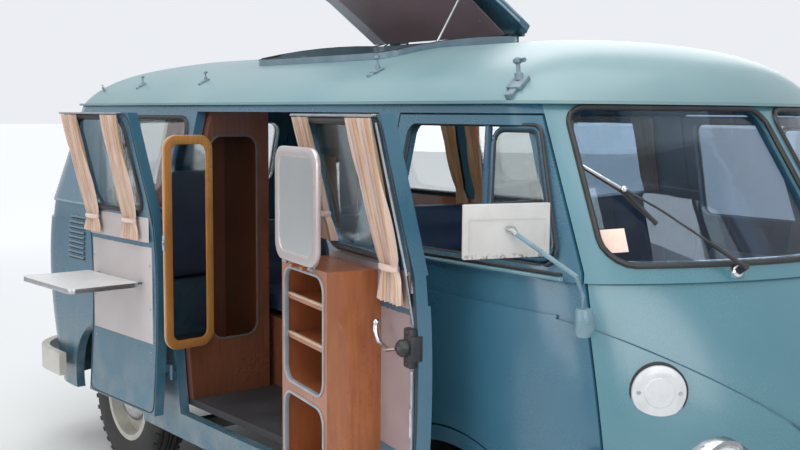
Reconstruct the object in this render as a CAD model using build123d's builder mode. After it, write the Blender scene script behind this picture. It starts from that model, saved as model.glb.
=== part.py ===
from build123d import *
import os
from math import cos, radians, sin, sqrt

# Camper van with a split windscreen and its engine at the rear, in millimetres.
# x runs forward from the front axle line, y to the van's left, z up from the road.
# PLACE moves every finished piece so that the origin is on the road, at the middle of the whole.
os.makedirs("parts", exist_ok=True)

# Main dimensions
WHEELBASE = 2400
FRONT_TRACK = 1375
REAR_TRACK = 1360
TYRE_R = 340
TYRE_W = 160
RIM_R = 192
WALL = 42
ROOF_WALL = 25
SHUT_GAP = 6
FIT = 0.4
CLEAR = 6

# Body outline at each height: height, nose, tail, half width, bow of the nose and its corner radius
LOWER = (
    (330, 905, -3165, 835, 420, 340),
    (620, 930, -3205, 858, 430, 340),
    (950, 895, -3215, 870, 420, 330),
    (1250, 740, -3190, 855, 330, 260),
)
UPPER = (
    (1250, 740, -3190, 855, 330, 260),
    (1715, 435, -3065, 742, 250, 220),
)
ROOF = (
    (1715, 435, -3065, 742, 250, 220),
    (1790, 385, -3030, 662, 235, 180),
    (1862, 285, -2930, 510, 200, 170),
    (1912, 90, -2740, 320, 140, 140),
    (1938, -260, -2400, 130, 60, 60),
)
TAIL_CORNER = 260
TAIL_BOW = 50
FULL_HALF = 700
SILL_Z = LOWER[0][0]
BELT_Z = UPPER[0][0]
RAIL_Z = ROOF[0][0]
RAIL_OUT = 16
RAIL_H = 9

# Shut lines along the side
SHUT_LOW_X = 550
SHUT_CURVE = ((510, 1002), (SHUT_LOW_X, 700))
SHUT_BELT = (436, 1275)
SHUT_TOP_X = 192
CAB_REAR_X = -375
DOORWAY_FRONT_X = -480
DOORWAY_REAR_X = -1680
DOORWAY_LOW_Z = 440
DOOR_TOP_Z = 1688
CAB_DOOR_LOW_Z = 520
FLANGE_T = 12
FLANGE_W = 45
TAIL_SEAM_X = -3020
ARCH_R = 390
REAR_ARCH_R = 365
ARCH_LIP = 45
SWAGE_Z = 1165
SWAGE_STEP = 8
SWAGE_POINT_Z = 560
SWAGE_MID = (430, 905)

# Windows
WINDOW_LOW_Z = 1285
WINDOW_TOP_Z = 1655
WINDOW_R = 60
DOOR_FRAME = 52
QUARTER_WINDOW_X = (-2285, -1740)
SIDE_WINDOWS_X = ((-1012, -535), (-1612, -1138), QUARTER_WINDOW_X)
PANE_LOW_Z = 1298
PANE_TOP_Z = 1700
PANE_LOW_Y = 742
PANE_TOP_Y = 662
POST_HALF = 30
PANE_R = 55
GLASS_IN = 18
GLASS_T = 5

# Tail
TAILGATE_HALF = 590
TAILGATE_LOW_Z = 985
TAILGATE_TOP_Z = 1672
TAILGATE_R = 90
ENGINE_LID_HALF = 450
ENGINE_LID_LOW_Z = 560
ENGINE_LID_TOP_Z = 930
ENGINE_LID_R = 60

# Floor and chassis
FLOOR_Z = 500
FLOOR_T = 30
RAIL_Y = 380
CHASSIS_W = 60
CHASSIS_LOW_Z = 400
CROSS_H = 50
CROSS_X = (560, -445, -1080, -1690)
CROSS_W = 50
WELL_X = 400
WELL_Y = 430
WELL_TOP_Z = 785
SHEET_T = 15
BULKHEAD_X = -2015
DECK_Z = 965

# Roof hatch: the opening lies a little to the right of the middle
HATCH_X = (-1735, -835)
HATCH_Y = (-420, 240)
HATCH_NEAR_Z = 1903
HATCH_MID_Z = 1972
HATCH_FAR_Z = 1998
HATCH_WALL = 22
HATCH_CORNER = 60
COLLAR_FOOT_Z = 1850
LID_CORNER = 22
LID_OVERHANG = 35
LID_T = 28
LID_OPEN = 34
LID_HINGES_X = (-1690, -890)

STAY_R = 5
STAY_LENGTH = 270
STAY_PIN_Y = -75
STAY_FOLD = 78
STAY_LEAN = 0.24

# Hinge lines of the doors and the angles at which they stand open
LOAD_HINGE_Y = -882
LOAD_HINGE_FOOT_Y = -844
FRONT_LEAF_OPEN = 168
REAR_LEAF_OPEN = 178
CAB_HINGE = (540, 860)
TAILGATE_HINGE = (-3085, 1686)
ENGINE_HINGE = (-3226, 942)
HATCH_HINGE = (HATCH_Y[1] + 47, HATCH_FAR_Z + 12)
HINGE_R = 8
HINGE_H = 30
HINGE_T = 8
STRAP = 30
LEG_W = 16
SEAT = 0.3
CAB_HINGES_Z = (600, 800)
CAB_HINGE_LEG = 72
LOAD_HINGES_Z = (620, 1170)
TAIL_HINGES_Y = (-300, 300)
WARDROBE_OPEN = 174

# Wardrobe behind the loading doorway, and its mirror door
WARDROBE_X = (-2005, -1645)
WARDROBE_Y = -430
WARDROBE_TOP_Z = 1690
BOARD_T = 16
WARDROBE_OPENING_Y = (-712, -488)
WARDROBE_OPENING_Z = (740, 1590)
WARDROBE_HINGES_Z = (860, 1440)
WARDROBE_PIN_R = 4
OPENING_R = 55
MIRROR_DOOR_T = 20
MIRROR_DOOR_LAP = 4
MIRROR_FRAME_W = 32

# Cabinet, flap and table that the loading doors carry, measured from each hinge line
CABINET_FROM_HINGE = (30, 374)
CABINET_Z = (510, 1240)
CABINET_Y = (-800, -652)
CABINET_FRAME = 22
CABINET_R = 50
CABINET_OPENINGS_Z = ((560, 838), (870, 1222))
SHELVES_Z = (1006, 1127)
SHELF_T = 10
FLAP_T = 14
FLAP_H = 340
FLAP_CLEAR = 13
FLAP_OFF = 12
FLAP_PIN_R = 5
TABLE_FROM_HINGE = (95, 560)
TABLE_Z = 990
TABLE_REACH = 300
TABLE_T = 18
TABLE_HINGE_Y = -806
TABLE_PIN_R = 5
TABLE_OFF = 12

# Kitchen along the left side, bench in front of the engine, and cab furniture
GALLEY_X = (-2005, -520)
GALLEY_Y = 430
GALLEY_TOP_Z = 930
GALLEY_RECESS = (300, 290, 300)
BENCH_X = (-2005, -1560)
BENCH_Y = (-400, 420)
SEAT_Z = 800
CUSHION_T = 115
CUSHION_EDGE_R = 20
BENCH_BACK_T = 100
BENCH_BACK_H = 400
CAB_SEAT_X = (-470, 60)
CAB_SEAT_HALF = 700
SEAT_BASE_HALF = 405
SEAT_BACK_T = 95
SEAT_BACK_TOP_Z = 1385
SEAT_BACK_LEAN = 45
DASH_X = 500
DASH_TOP_Z = 1235
DASH_H = 160
DASH_T = 22

# Steering wheel and column
WHEEL_HUB = (255, 390, 1100)
STEERING_R = 205
STEERING_RIM_R = 13
STEERING_HUB_R = 28
HUB_H = 40
SPOKE_W = 26
SPOKE_T = 8
COLUMN_FOOT = (560, 390, 505)
COLUMN_R = 18

# Running gear
BEAM_X = 140
BEAM_R = 24
BEAM_Z = (270, 375)
BEAM_HALF = 500
BEAM_BRACKET = (56, 40)
ARM_Y = (470, 512)
ARM_H = 36
KINGPIN_Y = 565
KINGPIN_R = 12
CARRIER_Y = (510, 540)
CARRIER_HALF = 20
LUGS_Z = ((255, 285), (385, 410))
KNUCKLE_Z = (290, 380)
PIN_Z = (240, 420)
PIN_GAP = 0.3
SPINDLE_R = 22
SPINDLE_END = 12
REAR_TUBE_R = 35
TORSION_X = -2085
TORSION_R = 42
TORSION_HALF = 480
REAR_ARM_Y = (450, 480)
TRANSAXLE_X = (-2600, -2230)
TRANSAXLE_HALF = 150
TRANSAXLE_Z = (265, 430)
ENGINE_X = (-3080, -2600)
ENGINE_HALF = 320
ENGINE_Z = (270, 720)

# Half profiles of rim and tyre: radius, distance outward from the wheel's middle
DRUM_R = 115
HUB_R = 58
RIM_PROFILE = (
    (SPINDLE_R + PIN_GAP, -87),
    (DRUM_R, -87),
    (DRUM_R, -8),
    (178, -8),
    (178, -67),
    (203, -67),
    (203, -61),
    (RIM_R - FIT, -61),
    (RIM_R - FIT, 61),
    (203, 61),
    (203, 67),
    (178, 67),
    (178, 4),
    (HUB_R, 4),
    (HUB_R, 40),
    (0, 40),
    (0, SPINDLE_END + 4),
    (SPINDLE_R + PIN_GAP, SPINDLE_END + 4),
)
TYRE_PROFILE = ((RIM_R, 60.5), (204, 60.5), (222, 76), (300, TYRE_W / 2), (TYRE_R, 56))

# Bumpers, lamps and mirrors
BUMPER_Z = (400, 510)
BUMPER_OUT = (40, 75)
BUMPER_WRAP = 420
BUMPER_ROW = (BUMPER_Z[0], 917, -3187, 848, 425, 320)
BRACKET = 40
BRACKET_Z = 435
BRACKETS_X = ((700, 910), (-3235, -3000))
HEADLAMP_Y = 598
HEADLAMP_Z = 770
HEADLAMP_R = 98
HEADLAMP_TOE = 12
SIGNAL_Y = 716
SIGNAL_Z = 987
SIGNAL_R = 71
TAIL_LAMP_Y = 690
TAIL_LAMP_Z = 840
TAIL_LAMP_R = 48
TAIL_LAMP_X = -3190
TAIL_LAMP_TOE = 24
LAMP_OUT = 24
MIRROR_PLATE_AT = (330, 973, 1388)
MIRROR_PLATE_W = 247
MIRROR_PLATE_H = 142
MIRROR_PLATE_T = 14
MIRROR_PLATE_R = 6
MIRROR_TOE = 18
MIRROR_ELBOW = (474, 902, 1276)
MIRROR_FOOT = (872, 1172)
MIRROR_FOOT_SIZE = (30, 70)
MIRROR_ARM_R = 7

TAIL_PLANE = Plane.YZ.offset(TAIL_SEAM_X)

# The whole reaches from the bumpers and from the open table to the left mirror
PLACE = Location((1135, 99, 0))


def nose_x(row, y):
    """Forward reach of a section's nose at a distance y from the middle."""
    height, nose, tail, half, bow, corner = row
    radius = (half * half + bow * bow) / (2 * bow)
    return nose - radius + sqrt(radius * radius - y * y)


def outline(row, inset=0.0, lift=0.0):
    """Plan of the body at one height, drawn in by inset."""
    height, nose, tail, half, bow, corner = row
    nose -= inset
    tail += inset
    half -= inset
    share = min(1.0, half / FULL_HALF)
    with BuildSketch(Plane.XY.offset(height + lift)) as plan:
        with BuildLine():
            front = ThreePointArc((nose - bow, -half), (nose, 0), (nose - bow, half))
            left = Line(front @ 1, (tail + TAIL_BOW, half))
            rear = ThreePointArc(left @ 1, (tail, 0), (tail + TAIL_BOW, -half))
            Line(rear @ 1, front @ 0)
        make_face()
        fillet(plan.vertices().sort_by(Axis.X)[2:], corner - inset * 0.6)
        fillet(plan.vertices().sort_by(Axis.X)[:2], TAIL_CORNER * share - inset * 0.6)
    return plan.sketch


def body_block(rows, inset=0.0, lift=0.0):
    """Solid between the outlines of a table of rows."""
    with BuildPart() as block:
        for row in rows:
            add(outline(row, inset, lift))
        loft(ruled=len(rows) == 2)
    return block.part


def room_block(inset):
    """Everything inside the walls, from sill to drip rail."""
    with BuildPart() as room:
        add(body_block(LOWER, inset))
        add(body_block(UPPER, inset))
    return room.part


def save(piece, name):
    """Label a finished piece, move it to the shared origin and write it."""
    piece.label = name
    placed = piece.moved(PLACE)
    placed.label = name
    export_step(placed, "parts/" + name + ".step")


def hinge_half(plane, along, leg, upper):
    """Half a hinge on a plane whose z is the hinge line: barrel, strap along x, leg to the skin."""
    middle = SEAT + HINGE_H / 2 if upper else -HINGE_H / 2
    leg_x = along - LEG_W / 2 if along > 0 else along + LEG_W / 2
    with BuildPart(plane) as half:
        with Locations((0, 0, middle)):
            Cylinder(HINGE_R, HINGE_H)
        with Locations((along / 2, 0, middle)):
            Box(abs(along), HINGE_T, HINGE_H)
        with Locations((leg_x, leg / 2, middle)):
            Box(LEG_W, abs(leg), HINGE_H)
    return half.part


def cab_hinges(side, along, upper):
    """Halves of the two outer hinges of a cab door, side is 1 for left and -1 for right."""
    halves = []
    for z in CAB_HINGES_Z:
        plane = Plane((CAB_HINGE[0], side * CAB_HINGE[1], z), x_dir=(1, 0, 0))
        halves.append(hinge_half(plane, along, -side * CAB_HINGE_LEG, upper))
    return halves


def load_hinges(x, along, upper):
    """Halves of the two outer hinges of a loading door."""
    halves = []
    for z in LOAD_HINGES_Z:
        plane = Plane((x, LOAD_HINGE_Y, z), x_dir=(1, 0, 0))
        halves.append(hinge_half(plane, along, LOAD_HINGE_FOOT_Y - LOAD_HINGE_Y, upper))
    return halves


def tail_hinges(line, along, upper):
    """Halves of the two hinges along the top of the tailgate or engine lid."""
    halves = []
    for y in TAIL_HINGES_Y:
        plane = Plane((line[0], y, line[1]), x_dir=(0, 0, 1), z_dir=(0, 1, 0))
        halves.append(hinge_half(plane, along, STRAP + 5, upper))
    return halves


def rounded_window(x_low, x_high, grow=0.0):
    """Side window opening on the XZ plane."""
    with BuildSketch(Plane.XZ) as window:
        with Locations(((x_low + x_high) / 2, (WINDOW_LOW_Z + WINDOW_TOP_Z) / 2)):
            width = x_high - x_low + 2 * grow
            height = WINDOW_TOP_Z - WINDOW_LOW_Z + 2 * grow
            RectangleRounded(width, height, WINDOW_R + grow)
    return window.sketch


def shut_x(z):
    """Shut line between nose and cab door above the belt, sloping back along the windscreen pillar."""
    belt_x, belt_z = SHUT_BELT
    return belt_x + (SHUT_TOP_X - belt_x) * (z - belt_z) / (RAIL_Z - belt_z)


def cab_door_outline(grow=0.0):
    """Cab door seen from the side, cut away round the front wheel."""
    lip_r = ARCH_R + ARCH_LIP
    low_x = sqrt(lip_r**2 - (CAB_DOOR_LOW_Z - TYRE_R) ** 2)
    rear_z = TYRE_R + sqrt(lip_r**2 - CAB_REAR_X**2)
    with BuildSketch(Plane.XZ) as door:
        with BuildLine():
            arch = ThreePointArc((low_x, CAB_DOOR_LOW_Z), (0, TYRE_R + lip_r), (CAB_REAR_X, rear_z))
            top = Polyline(
                arch @ 1,
                (CAB_REAR_X, DOOR_TOP_Z),
                (shut_x(DOOR_TOP_Z), DOOR_TOP_Z),
                SHUT_BELT,
            )
            shut = ThreePointArc(top @ 1, *SHUT_CURVE)
            Polyline(shut @ 1, (SHUT_LOW_X, CAB_DOOR_LOW_Z), arch @ 0)
        make_face()
        if grow:
            offset(amount=grow, kind=Kind.INTERSECTION)
    return door.sketch


def cab_window_outline():
    """Opening of a cab door above the belt."""
    with BuildSketch(Plane.XZ) as window:
        with BuildLine():
            Polyline(
                (CAB_REAR_X + DOOR_FRAME, WINDOW_LOW_Z),
                (CAB_REAR_X + DOOR_FRAME, WINDOW_TOP_Z),
                (shut_x(WINDOW_TOP_Z) - DOOR_FRAME, WINDOW_TOP_Z),
                (shut_x(WINDOW_LOW_Z) - DOOR_FRAME, WINDOW_LOW_Z),
                close=True,
            )
        make_face()
        fillet(window.vertices(), WINDOW_R * 0.6)
    return window.sketch


def pane_outline(side, grow=0.0):
    """Half of the windscreen seen from the front, side is 1 for left and -1 for right."""
    with BuildSketch(Plane.YZ) as pane:
        with BuildLine():
            Polyline(
                (side * POST_HALF, PANE_LOW_Z),
                (side * POST_HALF, PANE_TOP_Z),
                (side * PANE_TOP_Y, PANE_TOP_Z),
                (side * PANE_LOW_Y, PANE_LOW_Z),
                close=True,
            )
        make_face()
        fillet(pane.vertices(), PANE_R)
        if grow:
            offset(amount=grow)
    return pane.sketch


def tailgate_outline(grow=0.0):
    """Tailgate opening on the tail plane."""
    with BuildSketch(TAIL_PLANE) as gate:
        with Locations((0, (TAILGATE_LOW_Z + TAILGATE_TOP_Z) / 2)):
            height = TAILGATE_TOP_Z - TAILGATE_LOW_Z + 2 * grow
            RectangleRounded(2 * (TAILGATE_HALF + grow), height, TAILGATE_R + grow)
    return gate.sketch


def engine_lid_outline(grow=0.0):
    """Engine lid opening on the tail plane."""
    with BuildSketch(TAIL_PLANE) as lid:
        with Locations((0, (ENGINE_LID_LOW_Z + ENGINE_LID_TOP_Z) / 2)):
            height = ENGINE_LID_TOP_Z - ENGINE_LID_LOW_Z + 2 * grow
            RectangleRounded(2 * (ENGINE_LID_HALF + grow), height, ENGINE_LID_R + grow)
    return lid.sketch


def doorway_outline(x_low, x_high, grow=0.0):
    """Loading doorway, or one of its doors, seen from the side."""
    with BuildSketch(Plane.XZ) as way:
        with Locations(((x_low + x_high) / 2, (DOORWAY_LOW_Z + DOOR_TOP_Z) / 2)):
            height = DOOR_TOP_Z - DOORWAY_LOW_Z + 2 * grow
            Rectangle(x_high - x_low + 2 * grow, height)
    return way.sketch


# Body shell, pressed in above the swage line that runs round the sides and down to a point on the nose
REACH = 1300
FAR = 4000
outer_lower = body_block(LOWER)
with BuildPart() as above_swage:
    with BuildSketch(Plane.YZ.offset(SHUT_BELT[0] - WALL)):
        with BuildLine():
            down = ThreePointArc((-870, SWAGE_Z), (-SWAGE_MID[0], SWAGE_MID[1]), (0, SWAGE_POINT_Z))
            up = ThreePointArc(down @ 1, SWAGE_MID, (870, SWAGE_Z))
            Polyline(
                up @ 1,
                (REACH, SWAGE_Z),
                (REACH, BELT_Z),
                (-REACH, BELT_Z),
                (-REACH, SWAGE_Z),
                down @ 0,
            )
        make_face()
    extrude(amount=REACH)
    with Locations((SHUT_BELT[0] - WALL - FAR / 2, 0, (SWAGE_Z + BELT_Z) / 2)):
        Box(FAR, 2 * REACH, BELT_Z - SWAGE_Z)
with BuildPart() as swage_skin:
    add(outer_lower)
    add(body_block(LOWER, SWAGE_STEP), mode=Mode.SUBTRACT)
    add(above_swage.part, mode=Mode.INTERSECT)
with BuildPart() as shell:
    add(outer_lower)
    add(body_block(UPPER))
    add(room_block(WALL), mode=Mode.SUBTRACT)
    add(swage_skin.part, mode=Mode.SUBTRACT)


def side_sign(side):
    """Extrusion from the XZ plane: side is 1 for the left and -1 for the right."""
    return -side * REACH


with BuildPart() as nose_region:
    with BuildSketch(Plane.XZ):
        with BuildLine():
            shut = ThreePointArc(SHUT_BELT, *SHUT_CURVE)
            Polyline(
                shut @ 1,
                (SHUT_LOW_X, SILL_Z),
                (REACH, SILL_Z),
                (REACH, RAIL_Z),
                (SHUT_TOP_X, RAIL_Z),
                SHUT_BELT,
            )
        make_face()
    extrude(amount=REACH, both=True)

with BuildPart() as arches:
    with Locations((0, 0, TYRE_R)):
        Cylinder(ARCH_R, 2 * REACH, rotation=(90, 0, 0))
    with Locations((-WHEELBASE, 0, TYRE_R)):
        Cylinder(REAR_ARCH_R, 2 * REACH, rotation=(90, 0, 0))


def lamp_plane(y, z, toe):
    """Plane on the nose at a distance y from the middle, facing forward and outward by toe degrees."""
    below, above = LOWER[1:3] if z < LOWER[2][0] else LOWER[2:4]
    share = (z - below[0]) / (above[0] - below[0])
    x = nose_x(below, abs(y)) * (1 - share) + nose_x(above, abs(y)) * share
    turn = radians(toe) * (1 if y > 0 else -1)
    return Plane(origin=(x, y, z), x_dir=(0, 0, 1), z_dir=(cos(turn), sin(turn), 0))


HEADLAMP_PLANES = [lamp_plane(side * HEADLAMP_Y, HEADLAMP_Z, HEADLAMP_TOE) for side in (1, -1)]
SIGNAL_TOE = 42
SIGNAL_PLANES = [lamp_plane(side * SIGNAL_Y, SIGNAL_Z, SIGNAL_TOE) for side in (1, -1)]

# Nose below the windscreen, with holes for the headlamps and slots for the bumper brackets
with BuildPart() as nose_panel:
    add(shell.part)
    add(nose_region.part, mode=Mode.INTERSECT)
    split(bisect_by=Plane.XY.offset(BELT_Z), keep=Keep.BOTTOM)
    for plane in HEADLAMP_PLANES:
        with BuildSketch(plane.offset(-110)):
            Circle(HEADLAMP_R + FIT)
        extrude(amount=260, mode=Mode.SUBTRACT)
    for side in (1, -1):
        with Locations((REACH / 2, side * RAIL_Y, BRACKET_Z)):
            Box(REACH, BRACKET + 2 * FIT, BRACKET + 2 * FIT, mode=Mode.SUBTRACT)
    add(cab_hinges(1, STRAP, False) + cab_hinges(-1, STRAP, False))
save(nose_panel.part, "nose_panel")

# Windscreen frame with its centre post and the two raked pillars
with BuildPart() as screen_frame:
    add(shell.part)
    add(nose_region.part, mode=Mode.INTERSECT)
    split(bisect_by=Plane.XY.offset(BELT_Z), keep=Keep.TOP)
    for side in (1, -1):
        extrude(pane_outline(side), amount=REACH, mode=Mode.SUBTRACT)
save(screen_frame.part, "screen_frame")

# Left side in one piece, from the cab door back to the tail seam
with BuildPart() as side_left:
    add(shell.part)
    with Locations((TAIL_SEAM_X + FAR / 2, REACH / 2, RAIL_Z / 2)):
        Box(FAR, REACH, 2 * RAIL_Z, mode=Mode.INTERSECT)
    add(nose_region.part, mode=Mode.SUBTRACT)
    add(arches.part, mode=Mode.SUBTRACT)
    extrude(cab_door_outline(), amount=side_sign(1), mode=Mode.SUBTRACT)
    for low, high in SIDE_WINDOWS_X:
        extrude(rounded_window(low, high), amount=side_sign(1), mode=Mode.SUBTRACT)
save(side_left.part, "side_left")

# Right side: pillar, header and sill round the doors, then the rear quarter
with BuildPart() as frame_right:
    add(shell.part)
    with Locations((DOORWAY_REAR_X + FAR / 2, -REACH / 2, RAIL_Z / 2)):
        Box(FAR, REACH, 2 * RAIL_Z, mode=Mode.INTERSECT)
    add(nose_region.part, mode=Mode.SUBTRACT)
    add(arches.part, mode=Mode.SUBTRACT)
    extrude(cab_door_outline(), amount=side_sign(-1), mode=Mode.SUBTRACT)
    whole = doorway_outline(DOORWAY_REAR_X - 1, DOORWAY_FRONT_X)
    extrude(whole, amount=side_sign(-1), mode=Mode.SUBTRACT)
    add(load_hinges(DOORWAY_FRONT_X, STRAP, False))
save(frame_right.part, "frame_right")

with BuildPart() as quarter_right:
    add(shell.part)
    length = DOORWAY_REAR_X - TAIL_SEAM_X
    with Locations((TAIL_SEAM_X + length / 2, -REACH / 2, RAIL_Z / 2)):
        Box(length, REACH, 2 * RAIL_Z, mode=Mode.INTERSECT)
    add(arches.part, mode=Mode.SUBTRACT)
    extrude(rounded_window(*QUARTER_WINDOW_X), amount=side_sign(-1), mode=Mode.SUBTRACT)
    add(load_hinges(DOORWAY_REAR_X, -STRAP, False))
save(quarter_right.part, "quarter_right")

# Tail round both rear corners, open for the tailgate and the engine lid
with BuildPart() as tail_panel:
    add(shell.part)
    with Locations((TAIL_SEAM_X - FAR / 2, 0, RAIL_Z / 2)):
        Box(FAR, 2 * REACH, 2 * RAIL_Z, mode=Mode.INTERSECT)
    extrude(tailgate_outline(), amount=-REACH, mode=Mode.SUBTRACT)
    extrude(engine_lid_outline(), amount=-REACH, mode=Mode.SUBTRACT)
    for side in (1, -1):
        with Locations((-FAR, side * RAIL_Y, BRACKET_Z)):
            Box(FAR, BRACKET + 2 * FIT, BRACKET + 2 * FIT, mode=Mode.SUBTRACT)
    add(tail_hinges(TAILGATE_HINGE, STRAP - 5, False) + tail_hinges(ENGINE_HINGE, STRAP, False))
save(tail_panel.part, "tail_panel")

# Roof with its drip rail and the hatch opening
roof_outer = body_block(ROOF)
hatch_mid = ((HATCH_X[0] + HATCH_X[1]) / 2, (HATCH_Y[0] + HATCH_Y[1]) / 2)
hatch_size = (HATCH_X[1] - HATCH_X[0], HATCH_Y[1] - HATCH_Y[0])


def hatch_outline(grow, corner):
    """Rounded plan of the hatch opening, collar or lid."""
    with BuildSketch(Plane.XY.offset(RAIL_Z)) as hatch:
        with Locations(hatch_mid):
            RectangleRounded(hatch_size[0] + 2 * grow, hatch_size[1] + 2 * grow, corner)
    return hatch.sketch


def under_arch(lift):
    """Block below the slanting crown of the hatch, raised by lift."""
    with BuildPart() as block:
        with BuildSketch(Plane.YZ.offset(HATCH_X[0] - 2 * LID_OVERHANG)):
            with BuildLine():
                crown = ThreePointArc(
                    (HATCH_Y[0] - LID_OVERHANG, HATCH_NEAR_Z + lift),
                    (hatch_mid[1], HATCH_MID_Z + lift),
                    (HATCH_Y[1] + LID_OVERHANG, HATCH_FAR_Z + lift),
                )
                Polyline(
                    crown @ 1,
                    (HATCH_Y[1] + LID_OVERHANG, RAIL_Z),
                    (HATCH_Y[0] - LID_OVERHANG, RAIL_Z),
                    crown @ 0,
                )
            make_face()
        extrude(amount=hatch_size[0] + 4 * LID_OVERHANG)
    return block.part


with BuildPart() as roof:
    add(roof_outer)
    extrude(outline(UPPER[1], -RAIL_OUT), amount=RAIL_H)
    add(body_block(ROOF, ROOF_WALL, -ROOF_WALL), mode=Mode.SUBTRACT)
    extrude(hatch_outline(0, HATCH_CORNER), amount=REACH, mode=Mode.SUBTRACT)
save(roof.part, "roof")

with BuildPart() as hatch_collar:
    extrude(hatch_outline(HATCH_WALL, HATCH_CORNER + HATCH_WALL), amount=HATCH_FAR_Z)
    extrude(hatch_outline(0, HATCH_CORNER), amount=HATCH_FAR_Z, mode=Mode.SUBTRACT)
    add(under_arch(0), mode=Mode.INTERSECT)
    add(body_block(ROOF, -FIT, FIT), mode=Mode.SUBTRACT)
    with Locations((0, 0, RAIL_Z)):
        Box(FAR * 2, FAR * 2, 2 * (COLLAR_FOOT_Z - RAIL_Z), mode=Mode.SUBTRACT)
    for x in LID_HINGES_X:
        with Locations((x, HATCH_HINGE[0], HATCH_HINGE[1])):
            Cylinder(HINGE_R, HINGE_H, rotation=(0, 90, 0))
            Box(HINGE_H, HINGE_T, 30, align=(Align.CENTER, Align.CENTER, Align.MAX))
        with Locations((x, HATCH_HINGE[0], HATCH_HINGE[1] - 22)):
            Box(HINGE_H, STRAP + 5, HINGE_T, align=(Align.CENTER, Align.MAX, Align.CENTER))
save(hatch_collar.part, "hatch_collar")


def lid_under_z(y):
    """Height of the shut lid's underside at a distance y from the middle."""
    y_low, y_high = HATCH_Y[0] - LID_OVERHANG, HATCH_Y[1] + LID_OVERHANG
    chord = (y_high - y_low) / 2
    rise = HATCH_MID_Z - (HATCH_NEAR_Z + HATCH_FAR_Z) / 2
    slope = (HATCH_FAR_Z - HATCH_NEAR_Z) / (2 * chord)
    off = (y - (y_low + y_high) / 2) / chord
    return HATCH_MID_Z + CLEAR + slope * off * chord - rise * off * off


STAY_X = HATCH_X[1] - CLEAR - 2 * STAY_R
stay_pin = (STAY_X, STAY_PIN_Y, lid_under_z(STAY_PIN_Y) - 3 * STAY_R)

# Lid, hinged along the left edge of the collar and tipped up from the right
LID_AXIS = Axis((0, *HATCH_HINGE), (1, 0, 0))
with BuildPart() as hatch_lid:
    extrude(hatch_outline(LID_OVERHANG - 1, LID_CORNER), amount=HATCH_FAR_Z)
    add(under_arch(CLEAR + LID_T), mode=Mode.INTERSECT)
    add(under_arch(CLEAR), mode=Mode.SUBTRACT)
    for x in LID_HINGES_X:
        with Locations((x + HINGE_H + SEAT, HATCH_HINGE[0], HATCH_HINGE[1])):
            Cylinder(HINGE_R, HINGE_H, rotation=(0, 90, 0))
        with Locations((x + HINGE_H + SEAT, HATCH_HINGE[0], HATCH_HINGE[1] + 4)):
            Box(HINGE_H, STRAP, HINGE_T, align=(Align.CENTER, Align.MAX, Align.CENTER))
    with Locations((STAY_X - 2 * STAY_R - 1 - SEAT, STAY_PIN_Y, stay_pin[2])):
        Box(2 * STAY_R, 4 * STAY_R, 4 * STAY_R, align=(Align.CENTER, Align.CENTER, Align.MIN))
        Cylinder(2 * STAY_R, 2 * STAY_R, rotation=(0, 90, 0))
save(hatch_lid.part.rotate(LID_AXIS, -LID_OPEN), "hatch_lid")

# Cab and loading doors: the whole thickness of the side wall, with their windows cut. Round the wheel
# arch a cab door is a thin flange, so that its edge clears the arch as it swings.
with BuildPart() as arch_relief:
    with Locations((0, 0, TYRE_R)):
        Cylinder(ARCH_R + ARCH_LIP + FLANGE_W, 2 * REACH, rotation=(90, 0, 0))
    add(room_block(FLANGE_T), mode=Mode.INTERSECT)

with BuildPart() as cab_door_left:
    add(shell.part)
    extrude(cab_door_outline(-SHUT_GAP), amount=side_sign(1), mode=Mode.INTERSECT)
    extrude(cab_window_outline(), amount=side_sign(1), mode=Mode.SUBTRACT)
    add(arch_relief.part, mode=Mode.SUBTRACT)
    add(cab_hinges(1, -STRAP, True))
save(cab_door_left.part, "cab_door_left")

with BuildPart() as cab_door_right:
    add(shell.part)
    extrude(cab_door_outline(-SHUT_GAP), amount=side_sign(-1), mode=Mode.INTERSECT)
    extrude(cab_window_outline(), amount=side_sign(-1), mode=Mode.SUBTRACT)
    add(arch_relief.part, mode=Mode.SUBTRACT)
    add(cab_hinges(-1, -STRAP, True))
save(cab_door_right.part, "cab_door_right")

DOORWAY_MID_X = (DOORWAY_FRONT_X + DOORWAY_REAR_X) / 2
FRONT_AXIS = Axis((DOORWAY_FRONT_X, LOAD_HINGE_Y, 0), (0, 0, 1))
REAR_AXIS = Axis((DOORWAY_REAR_X, LOAD_HINGE_Y, 0), (0, 0, 1))
with BuildPart() as load_door_front:
    add(shell.part)
    front_leaf = doorway_outline(DOORWAY_MID_X, DOORWAY_FRONT_X, -SHUT_GAP)
    extrude(front_leaf, amount=side_sign(-1), mode=Mode.INTERSECT)
    extrude(rounded_window(*SIDE_WINDOWS_X[0]), amount=side_sign(-1), mode=Mode.SUBTRACT)
    add(load_hinges(DOORWAY_FRONT_X, -STRAP, True))
save(load_door_front.part.rotate(FRONT_AXIS, FRONT_LEAF_OPEN), "load_door_front")

with BuildPart() as load_door_rear:
    add(shell.part)
    rear_leaf = doorway_outline(DOORWAY_REAR_X, DOORWAY_MID_X, -SHUT_GAP)
    extrude(rear_leaf, amount=side_sign(-1), mode=Mode.INTERSECT)
    extrude(rounded_window(*SIDE_WINDOWS_X[1]), amount=side_sign(-1), mode=Mode.SUBTRACT)
    add(load_hinges(DOORWAY_REAR_X, STRAP, True))
    table_x = (DOORWAY_REAR_X + TABLE_FROM_HINGE[0], DOORWAY_REAR_X + TABLE_FROM_HINGE[1])
    for x in (table_x[0] + 40, table_x[1] - 40):
        with Locations((x, TABLE_HINGE_Y, TABLE_Z - TABLE_T / 2)):
            Cylinder(TABLE_PIN_R, 20, rotation=(0, 90, 0))
            Box(20, 40, 2 * TABLE_PIN_R - 2, align=(Align.CENTER, Align.MAX, Align.CENTER))
save(load_door_rear.part.rotate(REAR_AXIS, -REAR_LEAF_OPEN), "load_door_rear")

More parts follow.
